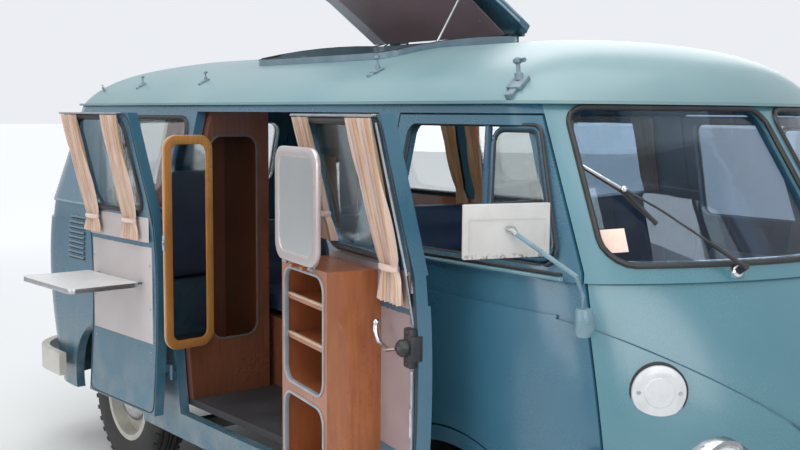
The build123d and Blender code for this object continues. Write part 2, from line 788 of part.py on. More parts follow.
# Tailgate with its window, and the engine lid below it
TAIL_WINDOW_FRAME = 60
with BuildPart() as tailgate:
    add(shell.part)
    extrude(tailgate_outline(-SHUT_GAP), amount=-REACH, mode=Mode.INTERSECT)
    with BuildSketch(TAIL_PLANE):
        with Locations((0, (WINDOW_LOW_Z + WINDOW_TOP_Z - 25) / 2)):
            width = 2 * (TAILGATE_HALF - TAIL_WINDOW_FRAME)
            RectangleRounded(width, WINDOW_TOP_Z - WINDOW_LOW_Z - 25, WINDOW_R)
    extrude(amount=-REACH, mode=Mode.SUBTRACT)
    add(tail_hinges(TAILGATE_HINGE, -STRAP, True))
save(tailgate.part, "tailgate")

with BuildPart() as engine_lid:
    add(shell.part)
    extrude(engine_lid_outline(-SHUT_GAP), amount=-REACH, mode=Mode.INTERSECT)
    add(tail_hinges(ENGINE_HINGE, -STRAP, True))
save(engine_lid.part, "engine_lid")

# Window glass: thin sheets set into the wall
with BuildPart() as glass_sheet:
    add(body_block(UPPER, GLASS_IN))
    add(body_block(UPPER, GLASS_IN + GLASS_T), mode=Mode.SUBTRACT)

with BuildPart() as windscreen:
    for side in (1, -1):
        extrude(pane_outline(side, -FIT), amount=REACH)
    add(glass_sheet.part, mode=Mode.INTERSECT)
save(windscreen.part, "windscreen")

with BuildPart() as side_glass:
    for low, high in SIDE_WINDOWS_X:
        extrude(rounded_window(low, high, -FIT), amount=side_sign(1))
    extrude(rounded_window(*QUARTER_WINDOW_X, -FIT), amount=side_sign(-1))
    add(glass_sheet.part, mode=Mode.INTERSECT)
save(side_glass.part, "side_glass")

with BuildPart() as glass_load_front:
    extrude(rounded_window(*SIDE_WINDOWS_X[0], -FIT), amount=side_sign(-1))
    add(glass_sheet.part, mode=Mode.INTERSECT)
save(glass_load_front.part.rotate(FRONT_AXIS, FRONT_LEAF_OPEN), "glass_load_front")

with BuildPart() as glass_load_rear:
    extrude(rounded_window(*SIDE_WINDOWS_X[1], -FIT), amount=side_sign(-1))
    add(glass_sheet.part, mode=Mode.INTERSECT)
save(glass_load_rear.part.rotate(REAR_AXIS, -REAR_LEAF_OPEN), "glass_load_rear")

with BuildPart() as glass_tailgate:
    with BuildSketch(TAIL_PLANE):
        with Locations((0, (WINDOW_LOW_Z + WINDOW_TOP_Z - 25) / 2)):
            width = 2 * (TAILGATE_HALF - TAIL_WINDOW_FRAME - FIT)
            RectangleRounded(width, WINDOW_TOP_Z - WINDOW_LOW_Z - 25 - 2 * FIT, WINDOW_R - FIT)
    extrude(amount=-REACH)
    add(glass_sheet.part, mode=Mode.INTERSECT)
save(glass_tailgate.part, "glass_tailgate")

# Flat floor, cut out over the front wheels
room = room_block(WALL + CLEAR)
tight_room = room_block(WALL + FIT)
with BuildPart() as floor:
    floor_length = REACH - BULKHEAD_X
    with Locations((BULKHEAD_X + floor_length / 2, 0, FLOOR_Z - FLOOR_T / 2)):
        Box(floor_length, 2 * REACH, FLOOR_T)
    for side in (1, -1):
        with Locations((0, side * (WELL_Y + REACH / 2), WELL_TOP_Z / 2)):
            Box(2 * WELL_X, REACH, WELL_TOP_Z, mode=Mode.SUBTRACT)
    add(room, mode=Mode.INTERSECT)
save(floor.part, "floor")

# Front wheel wells standing on the floor round its cutouts
with BuildPart() as wheel_wells:
    for side in (1, -1):
        with Locations((0, side * (WELL_Y - SHEET_T + REACH / 2), (WELL_TOP_Z + SHEET_T + FLOOR_Z) / 2)):
            Box(2 * (WELL_X + SHEET_T), REACH, WELL_TOP_Z + SHEET_T - FLOOR_Z)
    for side in (1, -1):
        with Locations((0, side * (WELL_Y + REACH / 2), WELL_TOP_Z / 2)):
            Box(2 * WELL_X, REACH, WELL_TOP_Z, mode=Mode.SUBTRACT)
    add(room, mode=Mode.INTERSECT)
save(wheel_wells.part, "wheel_wells")

# Raised deck over the engine, with the bulkhead in front of it
with BuildPart() as engine_deck:
    deck_length = BULKHEAD_X - TAIL_SEAM_X + REACH
    with Locations((BULKHEAD_X - FIT - deck_length / 2, 0, DECK_Z - SHEET_T / 2)):
        Box(deck_length, 2 * REACH, SHEET_T)
    bulkhead_low_z = FLOOR_Z - FLOOR_T
    with Locations((BULKHEAD_X - FIT - SHEET_T / 2, 0, (DECK_Z + bulkhead_low_z) / 2)):
        Box(SHEET_T, 2 * REACH, DECK_Z - bulkhead_low_z)
    add(room, mode=Mode.INTERSECT)
save(engine_deck.part, "engine_deck")

# Chassis: two rails on cross members that reach the side walls
CHASSIS_TOP_Z = FLOOR_Z - FLOOR_T
with BuildPart() as chassis:
    for side in (1, -1):
        with Locations((-REACH, side * RAIL_Y, (CHASSIS_LOW_Z + CHASSIS_TOP_Z) / 2)):
            Box(FAR + REACH, CHASSIS_W, CHASSIS_TOP_Z - CHASSIS_LOW_Z)
    for x in CROSS_X:
        with Locations((x, 0, CHASSIS_LOW_Z - CROSS_H / 2)):
            Box(CROSS_W, 2 * REACH, CROSS_H)
    add(tight_room, mode=Mode.INTERSECT)
save(chassis.part, "chassis")

# Bumpers: bars that wrap round both ends, on brackets from the rails
with BuildPart() as bumpers:
    extrude(outline(BUMPER_ROW, -BUMPER_OUT[1]), amount=BUMPER_Z[1] - BUMPER_Z[0])
    extrude(outline(BUMPER_ROW, -BUMPER_OUT[0]), amount=BUMPER_Z[1] - BUMPER_Z[0], mode=Mode.SUBTRACT)
    middle = (BUMPER_ROW[1] + BUMPER_ROW[2]) / 2
    keep_out = BUMPER_ROW[1] - BUMPER_ROW[2] - 2 * BUMPER_WRAP
    with Locations((middle, 0, BUMPER_Z[0])):
        Box(keep_out, 2 * REACH, REACH, mode=Mode.SUBTRACT)
    for low, high in BRACKETS_X:
        for side in (1, -1):
            with Locations(((low + high) / 2, side * RAIL_Y, BRACKET_Z)):
                Box(high - low, BRACKET, BRACKET)
    add(tight_room, mode=Mode.SUBTRACT)
save(bumpers.part, "bumpers")


# Stay of the lid, with its foot inside the collar's front wall
with BuildPart() as hatch_stay:
    with BuildSketch(Plane(origin=stay_pin, x_dir=(1, 0, 0), z_dir=(0, -1, -STAY_LEAN))):
        Circle(STAY_R)
    extrude(amount=STAY_LENGTH)
    with BuildSketch(Plane(origin=stay_pin, x_dir=(0, 1, 0), z_dir=(1, 0, 0)).offset(-STAY_R - 1)):
        Circle(2 * STAY_R)
    extrude(amount=2 * STAY_R + 2)
PIN_AXIS = Axis(stay_pin, (1, 0, 0))
stay_open = hatch_stay.part.rotate(PIN_AXIS, STAY_FOLD).rotate(LID_AXIS, -LID_OPEN)
save(stay_open, "hatch_stay")

# Hinge line of the mirror door, in front of the wardrobe and beside its opening
WARDROBE_OFF = MIRROR_DOOR_T + 7
wardrobe_hinge = (WARDROBE_X[1] + WARDROBE_OFF, WARDROBE_OPENING_Y[0] - MIRROR_DOOR_LAP - 8)
WARDROBE_AXIS = Axis((*wardrobe_hinge, 0), (0, 0, 1))

# Wardrobe against the right wall, with a tall rounded opening towards the doorway
with BuildPart() as wardrobe:
    wardrobe_mid = ((WARDROBE_X[0] + WARDROBE_X[1]) / 2, WARDROBE_Y - REACH / 2)
    wardrobe_mid_z = (FLOOR_Z + WARDROBE_TOP_Z) / 2
    with Locations((*wardrobe_mid, wardrobe_mid_z)):
        Box(WARDROBE_X[1] - WARDROBE_X[0], REACH, WARDROBE_TOP_Z - FLOOR_Z)
    add(room, mode=Mode.INTERSECT)
    with BuildPart(mode=Mode.PRIVATE) as wardrobe_inside:
        with Locations((*wardrobe_mid, wardrobe_mid_z)):
            inner_length = WARDROBE_X[1] - WARDROBE_X[0] - 2 * BOARD_T
            inner_height = WARDROBE_TOP_Z - FLOOR_Z - 2 * BOARD_T
            Box(inner_length, REACH - 2 * BOARD_T, inner_height)
        add(room_block(WALL + CLEAR + BOARD_T), mode=Mode.INTERSECT)
    add(wardrobe_inside.part, mode=Mode.SUBTRACT)
    with BuildSketch(Plane.YZ.offset(WARDROBE_X[1] - 2 * BOARD_T)):
        with Locations((sum(WARDROBE_OPENING_Y) / 2, sum(WARDROBE_OPENING_Z) / 2)):
            opening_w = WARDROBE_OPENING_Y[1] - WARDROBE_OPENING_Y[0]
            opening_h = WARDROBE_OPENING_Z[1] - WARDROBE_OPENING_Z[0]
            RectangleRounded(opening_w, opening_h, OPENING_R)
    extrude(amount=3 * BOARD_T, mode=Mode.SUBTRACT)
    for z in WARDROBE_HINGES_Z:
        with Locations((wardrobe_hinge[0], wardrobe_hinge[1], z)):
            Cylinder(WARDROBE_PIN_R, 20, align=(Align.CENTER, Align.CENTER, Align.MAX))
            Box(WARDROBE_OFF + 4, 5, 20, align=(Align.MAX, Align.CENTER, Align.MAX))
save(wardrobe.part, "wardrobe")

# Mirror door of the wardrobe: a wooden frame round a mirror, swung out through the doorway
with BuildPart() as wardrobe_door:
    with BuildSketch(Plane.YZ.offset(WARDROBE_X[1] + 2)):
        with Locations((sum(WARDROBE_OPENING_Y) / 2, sum(WARDROBE_OPENING_Z) / 2)):
            leaf_w = opening_w + 2 * MIRROR_DOOR_LAP
            leaf_h = opening_h + 2 * MIRROR_DOOR_LAP
            RectangleRounded(leaf_w, leaf_h, OPENING_R + MIRROR_DOOR_LAP)
    extrude(amount=MIRROR_DOOR_T)
    with BuildSketch(Plane.YZ.offset(WARDROBE_X[1] + 2)):
        with Locations((sum(WARDROBE_OPENING_Y) / 2, sum(WARDROBE_OPENING_Z) / 2)):
            RectangleRounded(leaf_w - 2 * MIRROR_FRAME_W, leaf_h - 2 * MIRROR_FRAME_W, OPENING_R * 0.7)
    extrude(amount=MIRROR_DOOR_T * 0.3, mode=Mode.SUBTRACT)
    for z in WARDROBE_HINGES_Z:
        with Locations((wardrobe_hinge[0], wardrobe_hinge[1], z + SEAT)):
            Cylinder(WARDROBE_PIN_R, 20, align=(Align.CENTER, Align.CENTER, Align.MIN))
            Box(12, 5, 20, align=(Align.MAX, Align.CENTER, Align.MIN))
        with Locations((wardrobe_hinge[0] - 9, wardrobe_hinge[1], z + SEAT)):
            Box(6, 14, 20, align=(Align.CENTER, Align.MIN, Align.MIN))
save(wardrobe_door.part.rotate(WARDROBE_AXIS, -WARDROBE_OPEN), "wardrobe_door")

# Cabinet on the front loading door, with two rounded openings and a mirror flap over the upper one
cabinet_x = (DOORWAY_FRONT_X - CABINET_FROM_HINGE[1], DOORWAY_FRONT_X - CABINET_FROM_HINGE[0])
cabinet_w = cabinet_x[1] - cabinet_x[0]
cabinet_mid_x = sum(cabinet_x) / 2
flap_hinge = (cabinet_mid_x, CABINET_Y[1] + FLAP_CLEAR + FLAP_T / 2, CABINET_Z[1] - FLAP_PIN_R)
with BuildPart() as door_cabinet:
    with Locations((cabinet_mid_x, CABINET_Y[1] - REACH / 2, sum(CABINET_Z) / 2)):
        Box(cabinet_w, REACH, CABINET_Z[1] - CABINET_Z[0])
    add(tight_room, mode=Mode.INTERSECT)
    with BuildSketch(Plane.XZ.offset(-CABINET_Y[1])):
        for low, high in CABINET_OPENINGS_Z:
            with Locations((cabinet_mid_x, (low + high) / 2)):
                RectangleRounded(cabinet_w - 2 * CABINET_FRAME, high - low, CABINET_R)
    extrude(amount=CABINET_Y[1] - CABINET_Y[0] - BOARD_T, mode=Mode.SUBTRACT)
    for z in SHELVES_Z:
        with Locations((cabinet_mid_x, (CABINET_Y[0] + CABINET_Y[1]) / 2, z)):
            Box(cabinet_w - 2 * CABINET_FRAME, CABINET_Y[1] - CABINET_Y[0] - BOARD_T, SHELF_T)
    for side in (1, -1):
        with Locations((cabinet_mid_x + side * (40 + SEAT), flap_hinge[1], flap_hinge[2])):
            Cylinder(FLAP_PIN_R, 20, rotation=(0, 90, 0))
            Box(20, 30, 2 * FLAP_PIN_R - 2, align=(Align.CENTER, Align.MAX, Align.CENTER))
save(door_cabinet.part.rotate(FRONT_AXIS, FRONT_LEAF_OPEN), "door_cabinet")

with BuildPart() as mirror_flap:
    with BuildSketch(Plane.XZ.offset(-CABINET_Y[1] - FLAP_CLEAR)):
        with Locations((cabinet_mid_x, flap_hinge[2] + FLAP_OFF + FLAP_H / 2)):
            RectangleRounded(cabinet_w - CABINET_FRAME, FLAP_H, OPENING_R)
    extrude(amount=-FLAP_T)
    with Locations(flap_hinge):
        Cylinder(FLAP_PIN_R, 60, rotation=(0, 90, 0))
        Box(60, 5, FLAP_OFF + 2, align=(Align.CENTER, Align.CENTER, Align.MIN))
save(mirror_flap.part.rotate(FRONT_AXIS, FRONT_LEAF_OPEN), "mirror_flap")

# Folding table on the rear loading door
with BuildPart() as door_table:
    with BuildSketch(Plane.XY.offset(TABLE_Z - TABLE_T)):
        with Locations((sum(table_x) / 2, TABLE_HINGE_Y + TABLE_OFF + TABLE_REACH / 2)):
            RectangleRounded(table_x[1] - table_x[0], TABLE_REACH, 25)
    extrude(amount=TABLE_T)
    for x in (table_x[0] + 60 + SEAT, table_x[1] - 60 - SEAT):
        with Locations((x, TABLE_HINGE_Y, TABLE_Z - TABLE_T / 2)):
            Cylinder(TABLE_PIN_R, 20, rotation=(0, 90, 0))
            Box(20, 20, 2 * TABLE_PIN_R - 2, align=(Align.CENTER, Align.MIN, Align.CENTER))
save(door_table.part.rotate(REAR_AXIS, -REAR_LEAF_OPEN), "door_table")

# Curtains tied back beside the door windows: plain solids of their outer shape
CURTAIN_T = 34
CURTAIN_W = 105
CURTAIN_TOP_Z = 1672
CURTAIN_LOW_Z = 1165


def curtain(x, wide, low_z=CURTAIN_LOW_Z):
    """Curtain on the inner side of the right wall, narrowing to its tie."""
    with BuildPart() as cloth:
        for z, width in ((CURTAIN_TOP_Z, wide), (1310, wide * 0.5), (low_z, wide * 0.42)):
            lean = (z - BELT_Z) / (RAIL_Z - BELT_Z)
            half = UPPER[0][3] + (UPPER[1][3] - UPPER[0][3]) * max(lean, 0)
            y = -half + WALL + FIT + CURTAIN_T / 2
            with BuildSketch(Plane.XY.offset(z)):
                with Locations((x, y)):
                    RectangleRounded(width, CURTAIN_T, CURTAIN_T * 0.4)
        loft(ruled=True)
    return cloth.part


with BuildPart() as curtains_front:
    add(curtain(DOORWAY_FRONT_X - 90, CURTAIN_W * 0.7, CABINET_Z[1] + CLEAR))
    add(curtain(DOORWAY_MID_X + 95, CURTAIN_W * 1.2))
save(curtains_front.part.rotate(FRONT_AXIS, FRONT_LEAF_OPEN), "curtains_front")

with BuildPart() as curtains_rear:
    add(curtain(DOORWAY_REAR_X + 130, CURTAIN_W))
    add(curtain(DOORWAY_MID_X - 100, CURTAIN_W))
save(curtains_rear.part.rotate(REAR_AXIS, -REAR_LEAF_OPEN), "curtains_rear")

# Kitchen cabinets along the left wall
with BuildPart() as galley:
    galley_mid = (sum(GALLEY_X) / 2, GALLEY_Y + REACH / 2, (FLOOR_Z + GALLEY_TOP_Z) / 2)
    with Locations(galley_mid):
        Box(GALLEY_X[1] - GALLEY_X[0], REACH, GALLEY_TOP_Z - FLOOR_Z)
    add(tight_room, mode=Mode.INTERSECT)
    with BuildSketch(Plane.XZ.offset(-GALLEY_Y)):
        for share in (1, 3, 5):
            with Locations((GALLEY_X[0] + share * (GALLEY_X[1] - GALLEY_X[0]) / 6, galley_mid[2])):
                RectangleRounded(*GALLEY_RECESS[:2], OPENING_R)
    extrude(amount=-GALLEY_RECESS[2], mode=Mode.SUBTRACT)
save(galley.part, "galley")

# Bench in front of the engine: a box with a seat cushion and a back cushion
with BuildPart() as bench_base:
    with Locations((sum(BENCH_X) / 2, sum(BENCH_Y) / 2, (FLOOR_Z + SEAT_Z) / 2)):
        Box(BENCH_X[1] - BENCH_X[0], BENCH_Y[1] - BENCH_Y[0], SEAT_Z - FLOOR_Z)
save(bench_base.part, "bench_base")

with BuildPart() as bench_cushions:
    seat_length = BENCH_X[1] - BENCH_X[0] - BENCH_BACK_T
    with Locations((BENCH_X[1] - seat_length / 2 + FIT, sum(BENCH_Y) / 2, SEAT_Z + CUSHION_T / 2 + FIT)):
        Box(seat_length, BENCH_Y[1] - BENCH_Y[0], CUSHION_T)
    with Locations((BENCH_X[0] + BENCH_BACK_T / 2, sum(BENCH_Y) / 2, SEAT_Z + BENCH_BACK_H / 2 + FIT)):
        Box(BENCH_BACK_T - 2, BENCH_Y[1] - BENCH_Y[0] - 40, BENCH_BACK_H)
    fillet(bench_cushions.edges(), CUSHION_EDGE_R)
save(bench_cushions.part, "bench_cushions")

# Cab bench over the front wheels
with BuildPart() as seat_base:
    with Locations((sum(CAB_SEAT_X) / 2, 0, (FLOOR_Z + SEAT_Z) / 2)):
        Box(CAB_SEAT_X[1] - CAB_SEAT_X[0], 2 * SEAT_BASE_HALF, SEAT_Z - FLOOR_Z)
save(seat_base.part, "seat_base")

with BuildPart() as cab_seat:
    seat_low_z = SEAT_Z + FIT
    with BuildSketch(Plane.XZ.offset(-CAB_SEAT_HALF)):
        with BuildLine():
            front_x = CAB_SEAT_X[1] + 10
            back_x = CAB_SEAT_X[0] + SEAT_BACK_T + 2
            Polyline(
                (back_x, seat_low_z),
                (front_x, seat_low_z),
                (front_x, seat_low_z + CUSHION_T),
                (back_x, seat_low_z + CUSHION_T - 15),
                close=True,
            )
        make_face()
        with BuildLine():
            Polyline(
                (CAB_SEAT_X[0], seat_low_z),
                (CAB_SEAT_X[0] + SEAT_BACK_T, seat_low_z),
                (CAB_SEAT_X[0] + SEAT_BACK_T - SEAT_BACK_LEAN, SEAT_BACK_TOP_Z),
                (CAB_SEAT_X[0] - SEAT_BACK_LEAN, SEAT_BACK_TOP_Z),
                close=True,
            )
        make_face()
    extrude(amount=2 * CAB_SEAT_HALF)
    fillet(cab_seat.edges().filter_by(Axis.Y), CUSHION_EDGE_R)
save(cab_seat.part, "cab_seat")

# Dashboard under the windscreen
with BuildPart() as dashboard:
    with BuildSketch(Plane.XZ.offset(-REACH)):
        with BuildLine():
            Polyline(
                (DASH_X, DASH_TOP_Z - DASH_H),
                (DASH_X + DASH_T, DASH_TOP_Z - DASH_H),
                (DASH_X + DASH_T, DASH_TOP_Z - DASH_T),
                (REACH, DASH_TOP_Z - DASH_T),
                (REACH, DASH_TOP_Z),
                (DASH_X, DASH_TOP_Z),
                close=True,
            )
        make_face()
    extrude(amount=2 * REACH)
    add(tight_room, mode=Mode.INTERSECT)
save(dashboard.part, "dashboard")

# Steering column and wheel on the left
column_run = Vector(*WHEEL_HUB) - Vector(*COLUMN_FOOT)
wheel_plane = Plane(origin=WHEEL_HUB, x_dir=(0, 1, 0), z_dir=tuple(column_run.normalized()))
with BuildPart() as steering_column:
    with BuildSketch(wheel_plane.offset(-column_run.length)):
        Circle(COLUMN_R)
    extrude(amount=column_run.length - HUB_H / 2 - FIT)
    split(bisect_by=Plane.XY.offset(FLOOR_Z + FIT), keep=Keep.TOP)
save(steering_column.part, "steering_column")

with BuildPart() as steering_wheel:
    with BuildSketch(wheel_plane.offset(-HUB_H / 2)):
        Circle(STEERING_HUB_R)
    extrude(amount=HUB_H)
    with BuildSketch(Plane(origin=WHEEL_HUB, x_dir=wheel_plane.x_dir, z_dir=wheel_plane.y_dir)):
        with Locations((STEERING_R, 0)):
            Circle(STEERING_RIM_R)
    revolve(axis=Axis(WHEEL_HUB, tuple(wheel_plane.z_dir)))
    with BuildSketch(wheel_plane.offset(-SPOKE_T / 2)):
        Rectangle(2 * STEERING_R, SPOKE_W)
    extrude(amount=SPOKE_T)
save(steering_wheel.part, "steering_wheel")

# Front axle: two torsion tubes, brackets up to the rails, trailing arms and kingpin lugs
with BuildPart() as front_axle:
    for z in BEAM_Z:
        with Locations((BEAM_X, 0, z)):
            Cylinder(BEAM_R, 2 * BEAM_HALF, rotation=(90, 0, 0))
    for side in (1, -1):
        with Locations((BEAM_X, side * RAIL_Y, (BEAM_Z[0] + CHASSIS_LOW_Z) / 2)):
            Box(*BEAM_BRACKET, CHASSIS_LOW_Z - BEAM_Z[0])
        for z in BEAM_Z:
            with Locations((BEAM_X / 2, side * sum(ARM_Y) / 2, z)):
                Box(BEAM_X, ARM_Y[1] - ARM_Y[0], ARM_H)
        carrier_low, carrier_high = LUGS_Z[0][0], LUGS_Z[1][1]
        with Locations((0, side * sum(CARRIER_Y) / 2, (carrier_low + carrier_high) / 2)):
            Box(2 * CARRIER_HALF, CARRIER_Y[1] - CARRIER_Y[0], carrier_high - carrier_low)
        for low, high in LUGS_Z:
            with Locations((0, side * (CARRIER_Y[1] + KINGPIN_Y) / 2, (low + high) / 2)):
                Box(2 * CARRIER_HALF, KINGPIN_Y - CARRIER_Y[1], high - low)
            with Locations((0, side * KINGPIN_Y, (low + high) / 2)):
                Cylinder(CARRIER_HALF, high - low)
    for side in (1, -1):
        with Locations((0, side * KINGPIN_Y, TYRE_R)):
            Cylinder(KINGPIN_R + PIN_GAP, REACH, mode=Mode.SUBTRACT)
save(front_axle.part, "front_axle")

# Steering knuckle: kingpin, body and wheel spindle, built on the left and mirrored
with BuildPart() as knuckle:
    with Locations((0, KINGPIN_Y, sum(KNUCKLE_Z) / 2)):
        Cylinder(CARRIER_HALF, KNUCKLE_Z[1] - KNUCKLE_Z[0])
    with Locations((0, KINGPIN_Y, sum(PIN_Z) / 2)):
        Cylinder(KINGPIN_R, PIN_Z[1] - PIN_Z[0])
    spindle_end = FRONT_TRACK / 2 + SPINDLE_END
    with Locations((0, (KINGPIN_Y + spindle_end) / 2, TYRE_R)):
        Cylinder(SPINDLE_R - 3, spindle_end - KINGPIN_Y, rotation=(90, 0, 0))
    with Locations((0, (KINGPIN_Y + 20 + spindle_end) / 2, TYRE_R)):
        Cylinder(SPINDLE_R, spindle_end - KINGPIN_Y - 20, rotation=(90, 0, 0))
save(knuckle.part, "knuckle_left")
save(knuckle.part.mirror(Plane.XZ), "knuckle_right")

# Rear axle: torsion tube, trailing arms, axle tubes, spindles and the gearbox between them
with BuildPart() as rear_axle:
    rear_spindle_end = REAR_TRACK / 2 + SPINDLE_END
    drum_y = REAR_TRACK / 2 + RIM_PROFILE[0][1] - CLEAR
    with Locations((TORSION_X, 0, TYRE_R)):
        Cylinder(TORSION_R, 2 * TORSION_HALF, rotation=(90, 0, 0))
    with Locations((-WHEELBASE, 0, TYRE_R)):
        Cylinder(REAR_TUBE_R, 2 * drum_y, rotation=(90, 0, 0))
    with Locations((-WHEELBASE, 0, TYRE_R)):
        Cylinder(SPINDLE_R, 2 * rear_spindle_end, rotation=(90, 0, 0))
    gearbox_length = TRANSAXLE_X[1] - TRANSAXLE_X[0]
    with Locations((sum(TRANSAXLE_X) / 2, 0, sum(TRANSAXLE_Z) / 2)):
        Box(gearbox_length, 2 * TRANSAXLE_HALF, TRANSAXLE_Z[1] - TRANSAXLE_Z[0])
    with Locations(((TRANSAXLE_X[1] + TORSION_X) / 2, 0, TYRE_R)):
        Box(TORSION_X - TRANSAXLE_X[1], TRANSAXLE_HALF, TORSION_R)
    for side in (1, -1):
        with Locations(((TORSION_X - WHEELBASE) / 2, side * sum(REAR_ARM_Y) / 2, TYRE_R)):
            Box(TORSION_X + WHEELBASE, REAR_ARM_Y[1] - REAR_ARM_Y[0], TORSION_R)
        with Locations((TORSION_X, side * RAIL_Y, (TYRE_R + CHASSIS_LOW_Z) / 2)):
            Box(*BEAM_BRACKET, CHASSIS_LOW_Z - TYRE_R)
save(rear_axle.part, "rear_axle")

# Engine as one block behind the gearbox
with BuildPart() as engine:
    with Locations((sum(ENGINE_X) / 2, 0, sum(ENGINE_Z) / 2)):
        Box(ENGINE_X[1] - ENGINE_X[0], 2 * ENGINE_HALF, ENGINE_Z[1] - ENGINE_Z[0])
save(engine.part, "engine")

# Wheels: rim and tyre turned about their own axle line
with BuildPart() as rim:
    with BuildSketch(Plane.XY):
        with BuildLine():
            Polyline(*RIM_PROFILE, close=True)
        make_face()
    revolve(axis=Axis.Y)
with BuildPart() as tyre:
    with BuildSketch(Plane.XY):
        with BuildLine():
            Polyline(*TYRE_PROFILE, *[(r, -out) for r, out in reversed(TYRE_PROFILE)], close=True)
        make_face()
    revolve(axis=Axis.Y)
rim_right = rim.part.mirror(Plane.XZ)
WHEELS = (
    ("front_left", 0, FRONT_TRACK / 2, rim.part),
    ("front_right", 0, -FRONT_TRACK / 2, rim_right),
    ("rear_left", -WHEELBASE, REAR_TRACK / 2, rim.part),
    ("rear_right", -WHEELBASE, -REAR_TRACK / 2, rim_right),
)
for corner, x, y, rim_piece in WHEELS:
    save(rim_piece.moved(Location((x, y, TYRE_R))), "rim_" + corner)
    save(tyre.part.moved(Location((x, y, TYRE_R))), "tyre_" + corner)

# Lamps seated against the skin
near_body = body_block(LOWER, -FIT)
with BuildPart() as headlamps:
    for plane in HEADLAMP_PLANES:
        with BuildSketch(plane.offset(-90)):
            Circle(HEADLAMP_R)
        extrude(amount=90 + LAMP_OUT)
save(headlamps.part, "headlamps")

with BuildPart() as turn_signals:
    for plane in SIGNAL_PLANES:
        with BuildSketch(plane.offset(-60)):
            Circle(SIGNAL_R)
        extrude(amount=60 + LAMP_OUT)
    add(near_body, mode=Mode.SUBTRACT)
save(turn_signals.part, "turn_signals")

with BuildPart() as tail_lamps:
    for side in (1, -1):
        turn = radians(TAIL_LAMP_TOE)
        facing = (-cos(turn), side * sin(turn), 0)
        lamp_at = (TAIL_LAMP_X, side * TAIL_LAMP_Y, TAIL_LAMP_Z)
        with BuildSketch(Plane(lamp_at, x_dir=(0, 0, 1), z_dir=facing).offset(-2 * LAMP_OUT)):
            Circle(TAIL_LAMP_R)
        extrude(amount=3 * LAMP_OUT)
    add(near_body, mode=Mode.SUBTRACT)
save(tail_lamps.part, "tail_lamps")

# Outer mirrors: a plate on a bent arm, the left one carried by the door
MIRRORS = (
    ("mirror_left", 1, 440),
    ("mirror_right", -1, 495),
)
for name, side, foot_x in MIRRORS:
    plate_x, plate_y, plate_z = MIRROR_PLATE_AT
    turn = radians(side * MIRROR_TOE)
    plate_plane = Plane(
        origin=(plate_x, side * plate_y, plate_z),
        x_dir=(-sin(turn), cos(turn), 0),
        z_dir=(cos(turn), sin(turn), 0),
    )
    with BuildPart() as mirror:
        with BuildSketch(plate_plane.offset(-MIRROR_PLATE_T)):
            RectangleRounded(MIRROR_PLATE_W, MIRROR_PLATE_H, MIRROR_PLATE_R)
        extrude(amount=MIRROR_PLATE_T)
        elbow_x, elbow_y, elbow_z = MIRROR_ELBOW
        bends = (
            (plate_x + 4, side * (plate_y - 40), plate_z),
            (elbow_x, side * elbow_y, elbow_z),
            (foot_x, side * MIRROR_FOOT[0], MIRROR_FOOT[1]),
        )
        for start, end in zip(bends, bends[1:]):
            run = Vector(*end) - Vector(*start)
            with BuildSketch(Plane(origin=start, z_dir=tuple(run.normalized()))):
                Circle(MIRROR_ARM_R)
            extrude(amount=run.length)
            with Locations(end):
                Sphere(MIRROR_ARM_R)
        with Locations((foot_x, side * (MIRROR_FOOT[0] - 40), MIRROR_FOOT[1])):
            Box(MIRROR_FOOT_SIZE[0], 100, MIRROR_FOOT_SIZE[1])
        add(near_body, mode=Mode.SUBTRACT)
    save(mirror.part, name)
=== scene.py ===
from math import cos, pi, radians, sin

import bmesh
import bpy
from mathutils import Matrix, Vector
from mathutils.bvhtree import BVHTree


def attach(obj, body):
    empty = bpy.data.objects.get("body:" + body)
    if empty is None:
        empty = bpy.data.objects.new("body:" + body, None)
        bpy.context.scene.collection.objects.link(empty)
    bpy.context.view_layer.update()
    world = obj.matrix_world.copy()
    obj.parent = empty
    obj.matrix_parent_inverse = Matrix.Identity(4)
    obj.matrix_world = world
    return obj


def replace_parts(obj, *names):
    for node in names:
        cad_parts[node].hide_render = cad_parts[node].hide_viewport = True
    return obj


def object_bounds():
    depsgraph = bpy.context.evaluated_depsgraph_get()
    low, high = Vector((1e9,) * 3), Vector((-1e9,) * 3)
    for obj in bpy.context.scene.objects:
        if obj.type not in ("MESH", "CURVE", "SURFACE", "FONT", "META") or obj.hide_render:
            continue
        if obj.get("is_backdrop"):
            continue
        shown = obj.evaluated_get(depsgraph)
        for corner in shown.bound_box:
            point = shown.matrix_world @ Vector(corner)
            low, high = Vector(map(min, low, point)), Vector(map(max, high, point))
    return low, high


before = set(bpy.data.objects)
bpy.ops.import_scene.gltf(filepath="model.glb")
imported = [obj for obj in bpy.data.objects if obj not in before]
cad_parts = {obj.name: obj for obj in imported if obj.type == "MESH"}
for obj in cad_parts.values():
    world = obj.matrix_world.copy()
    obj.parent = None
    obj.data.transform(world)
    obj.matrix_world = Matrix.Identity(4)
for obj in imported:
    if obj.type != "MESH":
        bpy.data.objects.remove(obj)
box_of_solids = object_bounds()

# View, light and ground
# The camera stands at eye height beside the right front corner, as the photograph was taken. All places in
# this file are metres from the front axle line on the road: x forward, y to the van's left, z up.
AXLE = Vector((1.135, 0.099, 0))
SENSOR_WIDTH, FOCAL_PIXELS, PICTURE_PIXELS = 36, 1075.9, 800
GROUND_SIZE = 150


def at(x, y, z):
    """Point given from the front axle line."""
    return AXLE + Vector((x, y, z))


